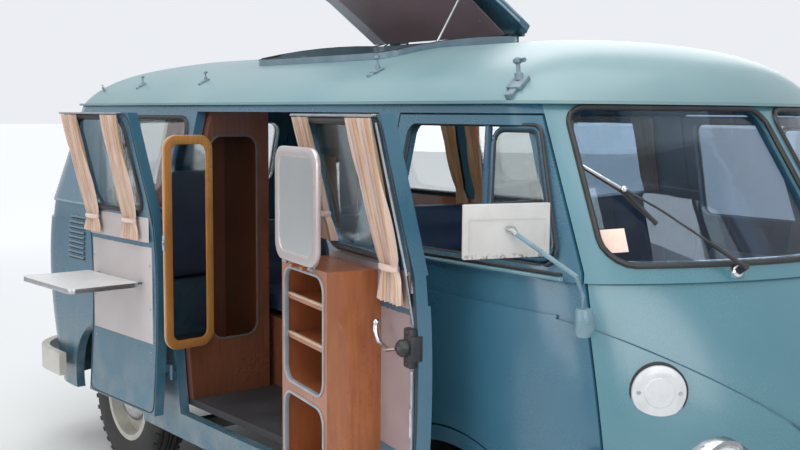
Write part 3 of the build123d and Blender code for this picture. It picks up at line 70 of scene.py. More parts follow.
camera = bpy.data.cameras.new("camera")
camera.sensor_width = SENSOR_WIDTH
camera.lens = SENSOR_WIDTH * FOCAL_PIXELS / PICTURE_PIXELS
camera_stand = bpy.data.objects.new("camera", camera)
bpy.context.collection.objects.link(camera_stand)
yaw, pitch, roll = radians(140.52), radians(-5.85), radians(-0.42)
ahead = Vector((cos(pitch) * cos(yaw), cos(pitch) * sin(yaw), sin(pitch)))
turn = ahead.to_track_quat("-Z", "Y").to_matrix().to_4x4() @ Matrix.Rotation(-roll, 4, "Z")
camera_stand.matrix_world = Matrix.Translation(at(2.266, -2.921, 1.681)) @ turn
bpy.context.scene.camera = camera_stand
bpy.context.scene.view_settings.view_transform = "Standard"

LAMPS = (
    # name, place, size, watts
    ("overhead", (-0.5, -1.0, 6.0), 6.0, 255),
    ("front", (5.5, -3.0, 3.5), 4.0, 150),
    ("right", (-1.0, -7.0, 3.0), 5.0, 150),
    ("left_rear", (-4.5, 5.5, 4.0), 5.0, 135),
)
for name, place, size, watts in LAMPS:
    lamp = bpy.data.lights.new(name, "AREA")
    lamp.size = size
    lamp.energy = watts
    stand = bpy.data.objects.new(name, lamp)
    bpy.context.collection.objects.link(stand)
    stand.location = at(*place)
    stand.rotation_euler = (at(-1.0, 0, 0.9) - stand.location).to_track_quat("-Z", "Y").to_euler()


def put(tree, value, socket):
    """Give an input a value, or link it to another node's output."""
    if isinstance(value, bpy.types.NodeSocket):
        tree.links.new(value, socket)
    else:
        socket.default_value = value


def worked(tree, operation, *values):
    """Result of a Math node on its values."""
    node = tree.nodes.new("ShaderNodeMath")
    node.operation = operation
    for value, socket in zip(values, node.inputs):
        put(tree, value, socket)
    return node.outputs[0]


def spread(tree, value, low, high, to_low=0.0, to_high=1.0):
    """Value rescaled from one range to another, clamped."""
    node = tree.nodes.new("ShaderNodeMapRange")
    labels = ("Value", "From Min", "From Max", "To Min", "To Max")
    for label, given in zip(labels, (value, low, high, to_low, to_high)):
        put(tree, given, node.inputs[label])
    return node.outputs["Result"]


def blended(tree, share, first, second):
    """Colour mixed from first to second by share."""
    node = tree.nodes.new("ShaderNodeMix")
    node.data_type = "RGBA"
    tree.links.new(share, node.inputs["Factor"])
    for label, colour in (("A", first), ("B", second)):
        put(tree, (*colour, 1) if isinstance(colour, tuple) else colour, node.inputs[label])
    return node.outputs["Result"]


def place_in(tree, kind="Object"):
    """Coordinates that a pattern is read at."""
    return tree.nodes.new("ShaderNodeTexCoord").outputs[kind]


sky = bpy.data.worlds.new("sky")
bpy.context.scene.world = sky
sky.use_nodes = True
tree = sky.node_tree
background = tree.nodes["Background"].inputs
background["Color"].default_value = (0.93, 0.95, 1.0, 1)
rays = tree.nodes.new("ShaderNodeLightPath").outputs
seen = worked(tree, "MAXIMUM", rays["Is Camera Ray"], rays["Is Transmission Ray"])
seen_or_mirrored = worked(tree, "MAXIMUM", seen, rays["Is Glossy Ray"])
tree.links.new(spread(tree, seen_or_mirrored, 0, 1, 0.55, 0.9), background["Strength"])

bm = bmesh.new()
bmesh.ops.create_grid(bm, x_segments=1, y_segments=1, size=GROUND_SIZE)
ground_mesh = bpy.data.meshes.new("ground")
bm.to_mesh(ground_mesh)
bm.free()
ground = bpy.data.objects.new("ground", ground_mesh)
bpy.context.collection.objects.link(ground)
ground_paint = bpy.data.materials.new("ground")
ground_paint.use_nodes = True
ground_mesh.materials.append(ground_paint)
tree = ground_paint.node_tree
shader = tree.nodes["Principled BSDF"].inputs
shader["Base Color"].default_value = (0.8, 0.81, 0.8, 1)
shader["Roughness"].default_value = 0.9
away = tree.nodes.new("ShaderNodeVectorMath")
away.operation = "LENGTH"
tree.links.new(place_in(tree), away.inputs[0])
far_off = spread(tree, away.outputs["Value"], 2.5, 11.0)
in_view = worked(tree, "MULTIPLY", far_off, tree.nodes.new("ShaderNodeLightPath").outputs["Is Camera Ray"])
tree.links.new(blended(tree, in_view, (0, 0, 0), (0.5, 0.52, 0.55)), shader["Emission Color"])
shader["Emission Strength"].default_value = 1.0
ground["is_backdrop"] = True

# Body paint
# Teal enamel over pressed steel, with dust low down. The nose and screen frame take a lighter copy of it as
# painted sunlight, and the roof a lighter one still as painted skylight. Faded and speckled patches come from
# one shared effect, which every finish here uses.


def effect(name, inputs, outputs):
    """New shader node group with the given inputs and outputs."""
    group = bpy.data.node_groups.new(name, "ShaderNodeTree")
    for label, kind, value in inputs:
        group.interface.new_socket(label, in_out="INPUT", socket_type=kind).default_value = value
    for label, kind in outputs:
        group.interface.new_socket(label, in_out="OUTPUT", socket_type=kind)
    return group, group.nodes.new("NodeGroupInput").outputs, group.nodes.new("NodeGroupOutput").inputs


def noise(tree, vector, scale, detail=4.0, roughness=0.55):
    """Noise texture read at a vector, with its strength as output."""
    node = tree.nodes.new("ShaderNodeTexNoise")
    for label, value in (("Vector", vector), ("Scale", scale), ("Detail", detail), ("Roughness", roughness)):
        put(tree, value, node.inputs[label])
    return node.outputs["Fac"]


patchy, given, result = effect(
    "patchy finish",
    (
        ("Clean", "NodeSocketColor", (0.5, 0.5, 0.5, 1)),
        ("Faded", "NodeSocketColor", (0.6, 0.6, 0.6, 1)),
        ("Patch Scale", "NodeSocketFloat", 3.0),
        ("Speck Scale", "NodeSocketFloat", 160.0),
        ("Smooth", "NodeSocketFloat", 0.3),
        ("Rough", "NodeSocketFloat", 0.5),
    ),
    (("Colour", "NodeSocketColor"), ("Roughness", "NodeSocketFloat"), ("Height", "NodeSocketFloat")),
)
place = place_in(patchy)
patches = spread(patchy, noise(patchy, place, given["Patch Scale"]), 0.36, 0.68)
specks = noise(patchy, place, given["Speck Scale"], 2.0)
tone = blended(patchy, patches, given["Clean"], given["Faded"])
shade = blended(patchy, spread(patchy, specks, 0.62, 0.8, 0.0, 0.35), tone, given["Faded"])
patchy.links.new(shade, result["Colour"])
rough_share = worked(patchy, "MULTIPLY_ADD", patches, 0.7, spread(patchy, specks, 0.3, 0.7, 0.0, 0.3))
sheen = patchy.nodes.new("ShaderNodeMix")
for label, value in (("Factor", rough_share), ("A", given["Smooth"]), ("B", given["Rough"])):
    patchy.links.new(value, sheen.inputs[label])
patchy.links.new(sheen.outputs["Result"], result["Roughness"])
patchy.links.new(specks, result["Height"])


def finish(name, clean, faded, patch, speck, smooth, rough, bump, **sockets):
    """Material with the shared patchy finish; sockets are set on its Principled shader."""
    material = bpy.data.materials.new(name)
    material.use_nodes = True
    tree = material.node_tree
    shader = tree.nodes["Principled BSDF"].inputs
    node = tree.nodes.new("ShaderNodeGroup")
    node.node_tree = patchy
    labels = ("Clean", "Faded", "Patch Scale", "Speck Scale", "Smooth", "Rough")
    for label, value in zip(labels, ((*clean, 1), (*faded, 1), patch, speck, smooth, rough)):
        node.inputs[label].default_value = value
    tree.links.new(node.outputs["Colour"], shader["Base Color"])
    tree.links.new(node.outputs["Roughness"], shader["Roughness"])
    relief = tree.nodes.new("ShaderNodeBump")
    relief.inputs["Distance"].default_value = bump
    relief.inputs["Strength"].default_value = 0.5
    tree.links.new(node.outputs["Height"], relief.inputs["Height"])
    tree.links.new(relief.outputs["Normal"], shader["Normal"])
    for label, value in sockets.items():
        shader[label.replace("_", " ")].default_value = value
    return material


def overlaid(material, share, colour):
    """Lay a second colour over the material's own, by share."""
    tree = material.node_tree
    base = tree.nodes["Principled BSDF"].inputs["Base Color"]
    tree.links.new(blended(tree, share, base.links[0].from_socket, colour), base)


def along_axis(tree, vector, axis):
    """One of the three parts of a vector."""
    split = tree.nodes.new("ShaderNodeSeparateXYZ")
    tree.links.new(vector, split.inputs[0])
    return split.outputs[axis]


def dress(material, *names):
    """Give solids of the frame this material."""
    for name in names:
        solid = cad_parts[name]
        solid.data.materials.clear()
        solid.data.materials.append(material)


GLOSS = {"Coat_Weight": 0.5, "Coat_Roughness": 0.18}
teal = finish(
    "teal enamel", (0.026, 0.105, 0.165), (0.042, 0.132, 0.195), 1.4, 220, 0.2, 0.38, 0.0002, **GLOSS)
tree = teal.node_tree
place = place_in(tree)
low_down = spread(tree, along_axis(tree, place, "Z"), 0.85, 0.35)
dusty = worked(tree, "MULTIPLY", low_down, spread(tree, noise(tree, place, 9), 0.4, 0.75, 0.0, 0.5))
overlaid(teal, dusty, (0.3, 0.29, 0.25))
dress(teal, "side_left", "frame_right", "quarter_right", "tail_panel", "dashboard", "seat_base", "hatch_lid")
dress(teal, "cab_door_left", "cab_door_right", "load_door_front", "load_door_rear", "tailgate", "engine_lid")
# A lighter copy of the teal enamel: painted sunlight and sky sheen on the nose and screen frame.
sunlit_teal = finish(
    "teal enamel with painted sunlight", (0.06, 0.17, 0.215), (0.09, 0.215, 0.255), 1.2, 220, 0.2, 0.38, 0.0002, **GLOSS)
dress(sunlit_teal, "nose_panel", "screen_frame")
# The roof's copy is lighter again: painted skylight on its upward-facing paint.
roof_teal_with_painted_skylight = finish(
    "roof teal with painted skylight", (0.135, 0.245, 0.27), (0.195, 0.3, 0.315), 1.1, 200, 0.32, 0.5, 0.0002,
    Coat_Weight=0.15, Coat_Roughness=0.2)
dress(roof_teal_with_painted_skylight, "roof")

# Windscreen
# Two panes of slightly tinted glass in thick black rubber, either side of a narrow post. A pale permit card,
# blank here, is stuck on the right pane. Parts are drawn as they sit with all doors shut.
BODY = Matrix.Translation(AXLE)
opened = {}  # for a body photographed open: its movement from the shut place
SIDES = ((1, "left"), (-1, "right"))
AHEAD, BACK, UP, DOWN, LEFT, RIGHT = (1, 0, 0), (-1, 0, 0), (0, 0, 1), (0, 0, -1), (0, 1, 0), (0, -1, 0)
IN_FRONT, BEHIND, BESIDE, OVERHEAD = 2.0, -4.0, 2.0, 2.6  # places well clear of the van


def skin_of(*names, body="body"):
    """Surfaces of these solids with their door shut, ready for finding a point on them."""
    corners, faces = [], []
    back = opened.get(body, BODY).inverted()
    for name in names:
        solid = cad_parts[name]
        first = len(corners)
        corners.extend(back @ (solid.matrix_world @ vertex.co) for vertex in solid.data.vertices)
        faces.extend([first + index for index in face.vertices] for face in solid.data.polygons)
    return BVHTree.FromPolygons(corners, faces)


def touched(skin, start, direction):
    """First point of a skin met from start, and the direction it faces there."""
    point, facing, _, _ = skin.ray_cast(Vector(start), Vector(direction))
    if point is None:
        point, facing, _, _ = skin.find_nearest(Vector(start))
    if facing.dot(Vector(direction)) > 0:
        facing = -facing
    return point, facing


def traced(skin, starts, direction, lift=0.0):
    """Points of a skin met from several places along one direction, each lifted off it."""
    return [point + facing * lift for point, facing in (touched(skin, start, direction) for start in starts)]


def softened(bm, edges, width):
    """Bevel edges with two narrow faces."""
    bmesh.ops.bevel(bm, geom=edges, offset=width, segments=2, profile=0.5, affect="EDGES", material=-1)


def piece(bm, name, material, body="body", angle=40, soft=0.0):
    """Finished object from a bmesh drawn in its shut place, riding on a body."""
    bmesh.ops.remove_doubles(bm, verts=bm.verts, dist=0.00002)
    bmesh.ops.recalc_face_normals(bm, faces=bm.faces)
    if soft:
        sharp = [edge for edge in bm.edges if edge.is_manifold and edge.calc_face_angle(0) > 0.6]
        softened(bm, sharp, soft)
    bmesh.ops.transform(bm, matrix=opened.get(body, BODY), verts=bm.verts)
    mesh = bpy.data.meshes.new(name)
    bm.to_mesh(mesh)
    bm.free()
    solid = bpy.data.objects.new(name, mesh)
    bpy.context.collection.objects.link(solid)
    mesh.materials.append(material)
    mesh.shade_smooth()
    mesh.set_sharp_from_angle(angle=radians(angle))
    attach(solid, body)
    return solid


def tube(path, radius, sides=8, closed=False, flat=1.0, bm=None):
    """Round bar, or flattened one, drawn along a path of points."""
    bm = bm or bmesh.new()
    rings = []
    path = [Vector(point) for point in path]
    count = len(path)
    for index, point in enumerate(path):
        before = path[index - 1] if closed or index else point
        after = path[(index + 1) % count] if closed or index < count - 1 else point
        run = (after - before).normalized()
        side = run.cross(Vector(UP))
        if side.length < 0.2:
            side = run.cross(Vector(AHEAD))
        side.normalize()
        turn = Matrix((side, side.cross(run), run)).transposed().to_4x4()
        ring = bmesh.ops.create_circle(bm, segments=sides, radius=radius)["verts"]
        bmesh.ops.scale(bm, vec=(1, flat, 1), verts=ring)
        bmesh.ops.transform(bm, matrix=Matrix.Translation(point) @ turn, verts=ring)
        rings.append(ring)
    for first, second in zip(rings, rings[1:] + rings[:1] if closed else rings[1:]):
        for index in range(sides):
            after = (index + 1) % sides
            bm.faces.new((first[index], first[after], second[after], second[index]))
    if not closed:
        bm.faces.new(rings[0])
        bm.faces.new(rings[-1])
    return bm


def turned(outline, stand, steps=32, bm=None):
    """Round part spun from its outline, given as (radius, height) about the z axis of its stand."""
    bm = bm or bmesh.new()
    row = [bm.verts.new(stand @ Vector((radius, 0, height))) for radius, height in outline]
    edges = [bm.edges.new(pair) for pair in zip(row, row[1:])]
    axis = stand.to_3x3() @ Vector(UP)
    bmesh.ops.spin(
        bm, geom=row + edges, cent=stand.translation, axis=axis, angle=2 * pi, steps=steps, use_merge=True)
    return bm


def facing_to(point, direction):
    """Stand whose z axis runs along a direction from a point."""
    return Matrix.Translation(Vector(point)) @ Vector(direction).to_track_quat("Z", "Y").to_matrix().to_4x4()


def slab(low, high, edge=0.002, turn=None, bm=None):
    """Board or bar between two corners, with softened edges."""
    bm = bm or bmesh.new()
    part = bmesh.ops.create_cube(bm, size=1)["verts"]
    low, high = Vector(low), Vector(high)
    bmesh.ops.scale(bm, vec=high - low, verts=part)
    bmesh.ops.translate(bm, vec=(low + high) / 2, verts=part)
    if turn is not None:
        bmesh.ops.transform(bm, matrix=turn, verts=part)
    if edge:
        softened(bm, list({run for corner in part for run in corner.link_edges}), edge)
    return bm


def rounded(width, height, radius, steps=5):
    """Corner points of a rounded rectangle about its middle."""
    points = []
    for quarter in range(4):
        across = (width / 2 - radius) * (1, -1, -1, 1)[quarter]
        up = (height / 2 - radius) * (1, 1, -1, -1)[quarter]
        for step in range(steps + 1):
            angle = (quarter + step / steps) * pi / 2
            points.append((across + radius * cos(angle), up + radius * sin(angle)))
    return points


def filled(points, longest):
    """The same loop with its long straight runs divided."""
    dense = []
    for index, point in enumerate(points):
        here, after = Vector(point), Vector(points[(index + 1) % len(points)])
        steps = max(1, round((after - here).length / longest))
        dense.extend(tuple(here.lerp(after, step / steps)) for step in range(steps))
    return dense


def lifted(bm, faces, push):
    """Draw faces out by a push, which closes them into a solid."""
    made = bmesh.ops.extrude_face_region(bm, geom=faces)["geom"]
    bmesh.ops.translate(bm, vec=push, verts=[part for part in made if isinstance(part, bmesh.types.BMVert)])


def plate(outline, stand, thick, opening=None, bm=None):
    """Flat plate cut to an outline in the stand's xy plane, with one opening if it is given."""
    bm = bm or bmesh.new()
    loops = []
    for points in (outline, opening) if opening else (outline,):
        corners = [bm.verts.new(stand @ Vector((x, y, 0))) for x, y in points]
        loops.extend(bm.edges.new(pair) for pair in zip(corners, corners[1:] + corners[:1]))
    if opening:
        faces = bmesh.ops.bridge_loops(bm, edges=loops)["faces"]
    else:
        faces = bmesh.ops.contextual_create(bm, geom=loops)["faces"]
    lifted(bm, faces, stand.to_3x3() @ Vector((0, 0, thick)))
    return bm


def round_corners(corners, radius, steps=5):
    """Loop of points through rounded corners of a polygon."""
    points = []
    count = len(corners)
    for index, corner in enumerate(corners):
        here = Vector(corner)
        back = (Vector(corners[index - 1]) - here).normalized()
        on = (Vector(corners[(index + 1) % count]) - here).normalized()
        half = back.angle(on) / 2
        reach = radius * cos(half) / sin(half)
        centre = here + (back + on).normalized() * radius / sin(half)
        start, end = here + back * reach - centre, here + on * reach - centre
        sweep = start.angle(end)
        turn = 1 if start.x * end.y - start.y * end.x > 0 else -1
        for step in range(steps + 1):
            part = turn * sweep * step / steps
            points.append((centre.x + start.x * cos(part) - start.y * sin(part),
                           centre.y + start.x * sin(part) + start.y * cos(part)))
    return points


rubber = finish(
    "weathered black rubber", (0.01, 0.01, 0.011), (0.03, 0.029, 0.028), 12, 400, 0.42, 0.65, 0.0004)
clear_glass = finish(
    "window glass", (0.78, 0.86, 0.85), (0.72, 0.82, 0.8), 0.7, 30, 0.015, 0.03, 0.0,
    Transmission_Weight=1.0, IOR=1.25, Alpha=0.5)
screen_glass = finish(
    "tinted screen glass", (0.34, 0.5, 0.7), (0.4, 0.56, 0.74), 0.7, 30, 0.015, 0.03, 0.0,
    Transmission_Weight=1.0, IOR=1.3, Alpha=0.85)
dress(screen_glass, "windscreen")
dress(clear_glass, "side_glass", "glass_load_front", "glass_load_rear", "glass_tailgate")

screen_skin = skin_of("screen_frame", "nose_panel", "windscreen")
PANE_CORNERS = ((0.03, 1.298), (0.742, 1.298), (0.662, 1.7), (0.03, 1.7))
PANE_MIDDLE_Y, PANE_MIDDLE_Z = 0.386, 1.499
for side, hand in SIDES:
    starts = []
    for y, z in filled(round_corners(PANE_CORNERS, 0.055), 0.06):
        y = PANE_MIDDLE_Y + (y - PANE_MIDDLE_Y) * 1.014
        z = PANE_MIDDLE_Z + (z - PANE_MIDDLE_Z) * 1.025
        starts.append((IN_FRONT, side * y, z))
    piece(tube(traced(screen_skin, starts, BACK, 0.001), 0.0085, 8, True), "screen_rubber_" + hand, rubber)

card_white = finish("faded card", (0.86, 0.6, 0.5), (0.92, 0.7, 0.6), 30, 500, 0.6, 0.7, 0.0001)
glass_skin = skin_of("windscreen")
point, facing = touched(glass_skin, (IN_FRONT, -0.694, 1.352), BACK)
lean = facing.to_track_quat("X", "Z").to_matrix().to_4x4() @ Matrix.Rotation(radians(4), 4, "X")
card = slab((0.0002, -0.045, -0.034), (0.001, 0.045, 0.034), 0.0003, Matrix.Translation(point) @ lean)
piece(card, "permit_card", card_white)

# Wipers
# A pivot in the scuttle carries a thin sprung arm, and the arm holds a long blade by a bright clip. The
# right blade lies across the glass, half bright and half dark.
chrome = finish("old chrome", (0.62, 0.64, 0.66), (0.4, 0.4, 0.4), 30, 500, 0.08, 0.3, 0.0002, Metallic=1.0)
bare_steel = finish(
    "dull bright steel", (0.42, 0.44, 0.46), (0.3, 0.31, 0.33), 25, 500, 0.22, 0.42, 0.0002, Metallic=1.0)
dark_steel = finish(
    "dark painted steel", (0.012, 0.013, 0.016), (0.03, 0.03, 0.032), 20, 400, 0.35, 0.55, 0.0002)
WIPERS = (
    # name, pivot, clip and both ends of the blade, as (y, z) on the windscreen
    ("right", (-0.429, 1.272), (-0.617, 1.472), (-0.684, 1.544), (-0.571, 1.388)),
    ("left", (0.24, 1.272), (0.15, 1.35), (0.02, 1.335), (0.29, 1.362)),
)
for hand, pivot, *on_glass in WIPERS:
    foot, foot_out = touched(screen_skin, (IN_FRONT, *pivot), BACK)
    (grip, grip_out), (low, low_out), (high, high_out) = (
        touched(glass_skin, (IN_FRONT, *spot), BACK) for spot in on_glass)
    collar = ((0, -0.01), (0.019, -0.01), (0.019, 0.006), (0.014, 0.012), (0, 0.013))
    piece(turned(collar, facing_to(foot, foot_out), 20), f"wiper_collar_{hand}", chrome)
    bm = tube([foot + foot_out * 0.008, foot + foot_out * 0.042], 0.011, 12)
    elbow = foot.lerp(grip, 0.28) + grip_out * 0.045
    tube([foot + foot_out * 0.036, elbow], 0.009, 8, False, 0.7, bm)
    tube([elbow, foot.lerp(grip, 0.7) + grip_out * 0.045, grip + grip_out * 0.032], 0.0032, 6, bm=bm)
    piece(bm, f"wiper_arm_{hand}", dark_steel)
    bm = bmesh.new()
    clip = Matrix.Translation(grip + grip_out * 0.03)
    bmesh.ops.create_icosphere(bm, subdivisions=2, radius=0.011, matrix=clip)
    tube([low + low_out * 0.016, grip + grip_out * 0.025], 0.005, 6, bm=bm)
    piece(bm, f"wiper_blade_{hand}", chrome)
    bm = tube([grip + grip_out * 0.025, high + high_out * 0.016], 0.005, 6)
    tube([low + low_out * 0.008, grip + grip_out * 0.01, high + high_out * 0.008], 0.006, 6, False, 0.5, bm)
    piece(bm, f"wiper_rubber_{hand}", rubber)

# Lamps on the nose
# Round headlamps sit in the nose in a bright ring with a clear domed lens over a bowl. Above them are flat
# round signal lamps with a milky lens, held in a thin gasket by two screws.
lens_glass = finish(
    "lamp lens", (0.8, 0.84, 0.85), (0.66, 0.7, 0.7), 14, 90, 0.05, 0.18, 0.0008, Coat_Weight=0.6)
signal_lens = finish(
    "milky signal lens", (0.6, 0.62, 0.64), (0.5, 0.52, 0.53), 16, 240, 0.12, 0.3, 0.0006, Coat_Weight=0.6)
nose_skin = skin_of("nose_panel")
# Outlines are (radius, height) from the lamp's seat outwards.
HEADLAMP_RING = (
    (0.08, 0.006), (0.086, 0.012), (0.098, 0.01), (0.106, -0.004), (0.106, -0.04), (0.08, -0.04),
    (0.08, 0.006),
)
HEADLAMP_DOME = (
    (0, 0.03), (0.03, 0.028), (0.055, 0.021), (0.074, 0.01), (0.083, 0.0), (0.083, -0.006), (0, -0.008),
)
SIGNAL_GASKET = ((0, 0.002), (0.07, 0.002), (0.073, 0.004), (0.0745, 0.001), (0.0745, -0.03), (0, -0.03))
SIGNAL_LENS = (
    (0, 0.015), (0.037, 0.0145), (0.039, 0.0125), (0.044, 0.0125), (0.058, 0.011), (0.068, 0.007),
    (0.071, 0.0), (0.071, -0.01), (0, -0.01),
)
SIGNAL_SCREW = ((0, 0.017), (0.004, 0.0165), (0.0055, 0.014), (0.0055, 0.004))


def toed(side, degrees, ahead=1):
    """Level direction ahead or back, turned out to one side."""
    toe = radians(degrees) * side
    return Vector((ahead * cos(toe), sin(toe), 0))


for side, hand in SIDES:
    front, _ = touched(nose_skin, (IN_FRONT, side * 0.598, 0.9), BACK)
    seat = facing_to((front.x + 0.012, side * 0.598, 0.77), toed(side, 12))
    piece(turned(HEADLAMP_RING, seat, 48), "headlamp_ring_" + hand, chrome)
    lens = piece(turned(HEADLAMP_DOME, seat, 48), "headlamp_lens_" + hand, lens_glass)
    if side > 0:
        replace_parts(lens, "headlamps")
    spot, _ = touched(nose_skin, (IN_FRONT, side * 0.716, 0.987), BACK)
    seat = facing_to(spot, toed(side, 42))
    piece(turned(SIGNAL_GASKET, seat, 48), "signal_gasket_" + hand, rubber)
    lens = piece(turned(SIGNAL_LENS, seat, 48), "signal_lens_" + hand, signal_lens)
    if side > 0:
        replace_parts(lens, "turn_signals")
    bm = bmesh.new()
    for across in (-0.052, 0.052):
        turned(SIGNAL_SCREW, seat @ Matrix.Translation((across, 0, -0.003)), 12, bm)
    piece(bm, "signal_screws_" + hand, bare_steel)

# Swage on the nose
# A pressed line sweeps down from both doors to a point in the middle of the nose, drawn as a thin dark teal
# bead that is painted shade in the crease.
# Dark teal paint for the vent frames and posts; on the nose swage its darkness is painted shade in the
# crease.
deep_teal_and_crease_shade = finish(
    "deep teal frame paint and painted crease shade", (0.022, 0.075, 0.125), (0.04, 0.105, 0.155), 6, 220, 0.2, 0.35, 0.0002)
starts = []
for step in range(-19, 20):
    y = step / 19 * 0.8
    starts.append((IN_FRONT, y, 0.56 + 0.907 * abs(y) - 0.243 * y * y))
piece(tube(traced(nose_skin, starts, BACK, -0.0015), 0.011, 8, False, 0.45), "nose_swage_painted_shade", deep_teal_and_crease_shade)

# Bumpers
# Pressed steel blades painted off-white, each held by two bolts at its brackets.
bumper_paint = finish(
    "chipped off-white paint", (0.58, 0.57, 0.52), (0.44, 0.42, 0.37), 5, 160, 0.3, 0.5, 0.0004)
dress(bumper_paint, "bumpers")
bumper_skin = skin_of("bumpers")
bm = bmesh.new()
for start, direction in ((IN_FRONT, BACK), (BEHIND, AHEAD)):
    for y in (-0.4, 0.4):
        spot, out = touched(bumper_skin, (start, y, 0.455), direction)
        turned(((0, 0.009), (0.01, 0.007), (0.014, 0.001), (0.014, -0.004)), facing_to(spot, out), 16, bm)
piece(bm, "bumper_bolts", bare_steel)

# Wheels
# Pressed steel wheels with a small bright hub cap and cross-ply tyres. Each tyre has four grooves round its
# tread and a row of blocks on each shoulder; the sidewall is plain.
tyre_rubber = finish(
    "road-worn tyre rubber", (0.014, 0.014, 0.015), (0.045, 0.042, 0.038), 6, 300, 0.6, 0.85, 0.0008)
rim_paint = finish("off-white wheel paint", (0.5, 0.49, 0.44), (0.36, 0.34, 0.29), 7, 200, 0.35, 0.55, 0.0004)
TYRE_HALF = (
    # radius, distance from the middle of the tyre
    (0.196, 0.06), (0.215, 0.07), (0.255, 0.079), (0.29, 0.079), (0.318, 0.071), (0.331, 0.06),
    (0.335, 0.046), (0.327, 0.044), (0.327, 0.036), (0.338, 0.034), (0.339, 0.014), (0.33, 0.012),
    (0.33, 0.006), (0.34, 0.004),
)
HUB_CAP = ((0, 0.07), (0.04, 0.067), (0.085, 0.056), (0.108, 0.04), (0.116, 0.026), (0.112, 0.02), (0, 0.018))
HUB_HEIGHT, REAR_AXLE_X = 0.34, -2.4
TREAD_BLOCKS, BLOCK_RADIUS, BLOCK_SIDE, BLOCK_LEAN = 36, 0.3295, 0.0665, -0.7
WHEELS = (
    # name, x and y of the wheel's middle
    ("front_left", 0.0, 0.6875), ("front_right", 0.0, -0.6875),
    ("rear_left", REAR_AXLE_X, 0.68), ("rear_right", REAR_AXLE_X, -0.68),
)
for place, x, y in WHEELS:
    hub = facing_to((x, y, HUB_HEIGHT), LEFT if y > 0 else RIGHT)
    outline = list(TYRE_HALF) + [(radius, -along) for radius, along in reversed(TYRE_HALF)]
    bm = turned(outline + [outline[0]], hub, 72)
    for step in range(TREAD_BLOCKS):
        spin = hub @ Matrix.Rotation(2 * pi * step / TREAD_BLOCKS, 4, "Z")
        for edge in (-1, 1):
            block = spin @ Matrix.Translation((BLOCK_RADIUS, 0, edge * BLOCK_SIDE))
            block = block @ Matrix.Rotation(edge * BLOCK_LEAN, 4, "Y")
            slab((-0.006, -0.01, -0.009), (0.0035, 0.01, 0.009), 0, block, bm)
    tyre = piece(bm, "tread_" + place, tyre_rubber, "wheel_" + place, angle=30)
    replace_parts(tyre, "tyre_" + place)
    dress(rim_paint, "rim_" + place)
    piece(turned(HUB_CAP, hub, 40), "hub_cap_" + place, chrome, "wheel_" + place)

# Underside, axles and engine
# Dark undercoat on the floor and chassis with road dirt, and a plain engine block in dull cast metal.
undercoat = finish("dirty undercoat", (0.02, 0.021, 0.022), (0.075, 0.068, 0.058), 4, 120, 0.7, 0.9, 0.001)
floor_mat = finish(
    "ribbed rubber floor", (0.02, 0.02, 0.023), (0.032, 0.031, 0.034), 5, 260, 0.55, 0.75, 0.0006)
engine_metal = finish(
    "dull cast alloy", (0.16, 0.16, 0.15), (0.1, 0.095, 0.085), 9, 260, 0.4, 0.6, 0.0006, Metallic=0.8)
dress(undercoat, "chassis", "wheel_wells", "engine_deck")
dress(undercoat, "front_axle", "rear_axle", "knuckle_left", "knuckle_right")
dress(floor_mat, "floor")
dress(engine_metal, "engine")

# Loading doors
# Each leaf is a pressed panel with pale grey boards screwed to its inner face, the front leaf's darkened to
# pink-grey
# by painted shade: a tall one, and a thin strip above it at the belt. A black rubber seal runs round its rim.


def swung(hinge, degrees, axis="Z"):
    """Movement from the shut place to the photographed one, about a hinge line through a point."""
    hinge = Vector(hinge)
    turn = Matrix.Rotation(radians(degrees), 4, axis)
    return Matrix.Translation(AXLE + hinge) @ turn @ Matrix.Translation(-hinge)


opened["loading_door_front"] = swung((-0.48, -0.882, 0), 168)
opened["loading_door_rear"] = swung((-1.68, -0.882, 0), -178)
WALL = Matrix(((1, 0, 0, 0), (0, 0, -1, 0), (0, 1, 0, 0), (0, 0, 0, 1)))  # a plate's xy plane set upright
board_paint = finish("pale grey board", (0.44, 0.4, 0.4), (0.5, 0.46, 0.46), 4, 180, 0.4, 0.6, 0.0003)
# The front leaf's boards: the pale grey board darkened and warmed as painted shade.
board_with_painted_shade = finish("pink-grey board with painted shade", (0.28, 0.205, 0.215), (0.35, 0.275, 0.28), 4, 180, 0.4, 0.6, 0.0003)
LEAVES = (
    # name, low and high x of the leaf, paint of its boards
    ("front", -1.074, -0.486, board_with_painted_shade),
    ("rear", -1.674, -1.086, board_paint),
)
BOARDS = (
    # name, low and high z, height at which the lining behind it is found, thickness
    ("", 0.48, 1.155, 0.9, 0.004),
    ("_top", 1.156, 1.258, 1.245, 0.0015),
)
WARDROBE_CLEAR_X = -1.636
for leaf, low_x, high_x, paint in LEAVES:
    body = "loading_door_" + leaf
    skin = skin_of("load_door_" + leaf, body=body)
    mid = (low_x + high_x) / 2
    near, far = max(low_x + 0.023, WARDROBE_CLEAR_X), high_x - 0.023
    for part, low_z, high_z, level, thick in BOARDS:
        lining, _ = touched(skin, (mid, 0, level), RIGHT)
        seat = Matrix.Translation(((near + far) / 2, lining.y + 0.001, (low_z + high_z) / 2)) @ WALL
        board = plate(rounded(far - near, high_z - low_z, 0.006, 4), seat, -thick)
        piece(board, f"door_board_{leaf}{part}", paint, body, soft=0.0005)
    lining, _ = touched(skin, (mid, 0, 0.9), RIGHT)
    bm = bmesh.new()
    for z in (0.52, 0.7, 0.88, 1.06):
        for x in (near + 0.015, far - 0.015):
            seat = facing_to((x, lining.y + 0.005, z), LEFT)
            turned(((0, 0.003), (0.004, 0.002), (0.006, -0.001)), seat, 10, bm)
    piece(bm, f"board_screws_{leaf}", bare_steel, body)
    rim = filled(rounded(high_x - low_x - 0.016, 1.22, 0.035, 4), 0.1)
    path = traced(skin, [(mid + across, 0, 1.064 + up) for across, up in rim], RIGHT)
    piece(tube(path, 0.0028, 6, True), f"door_seal_{leaf}", rubber, body)

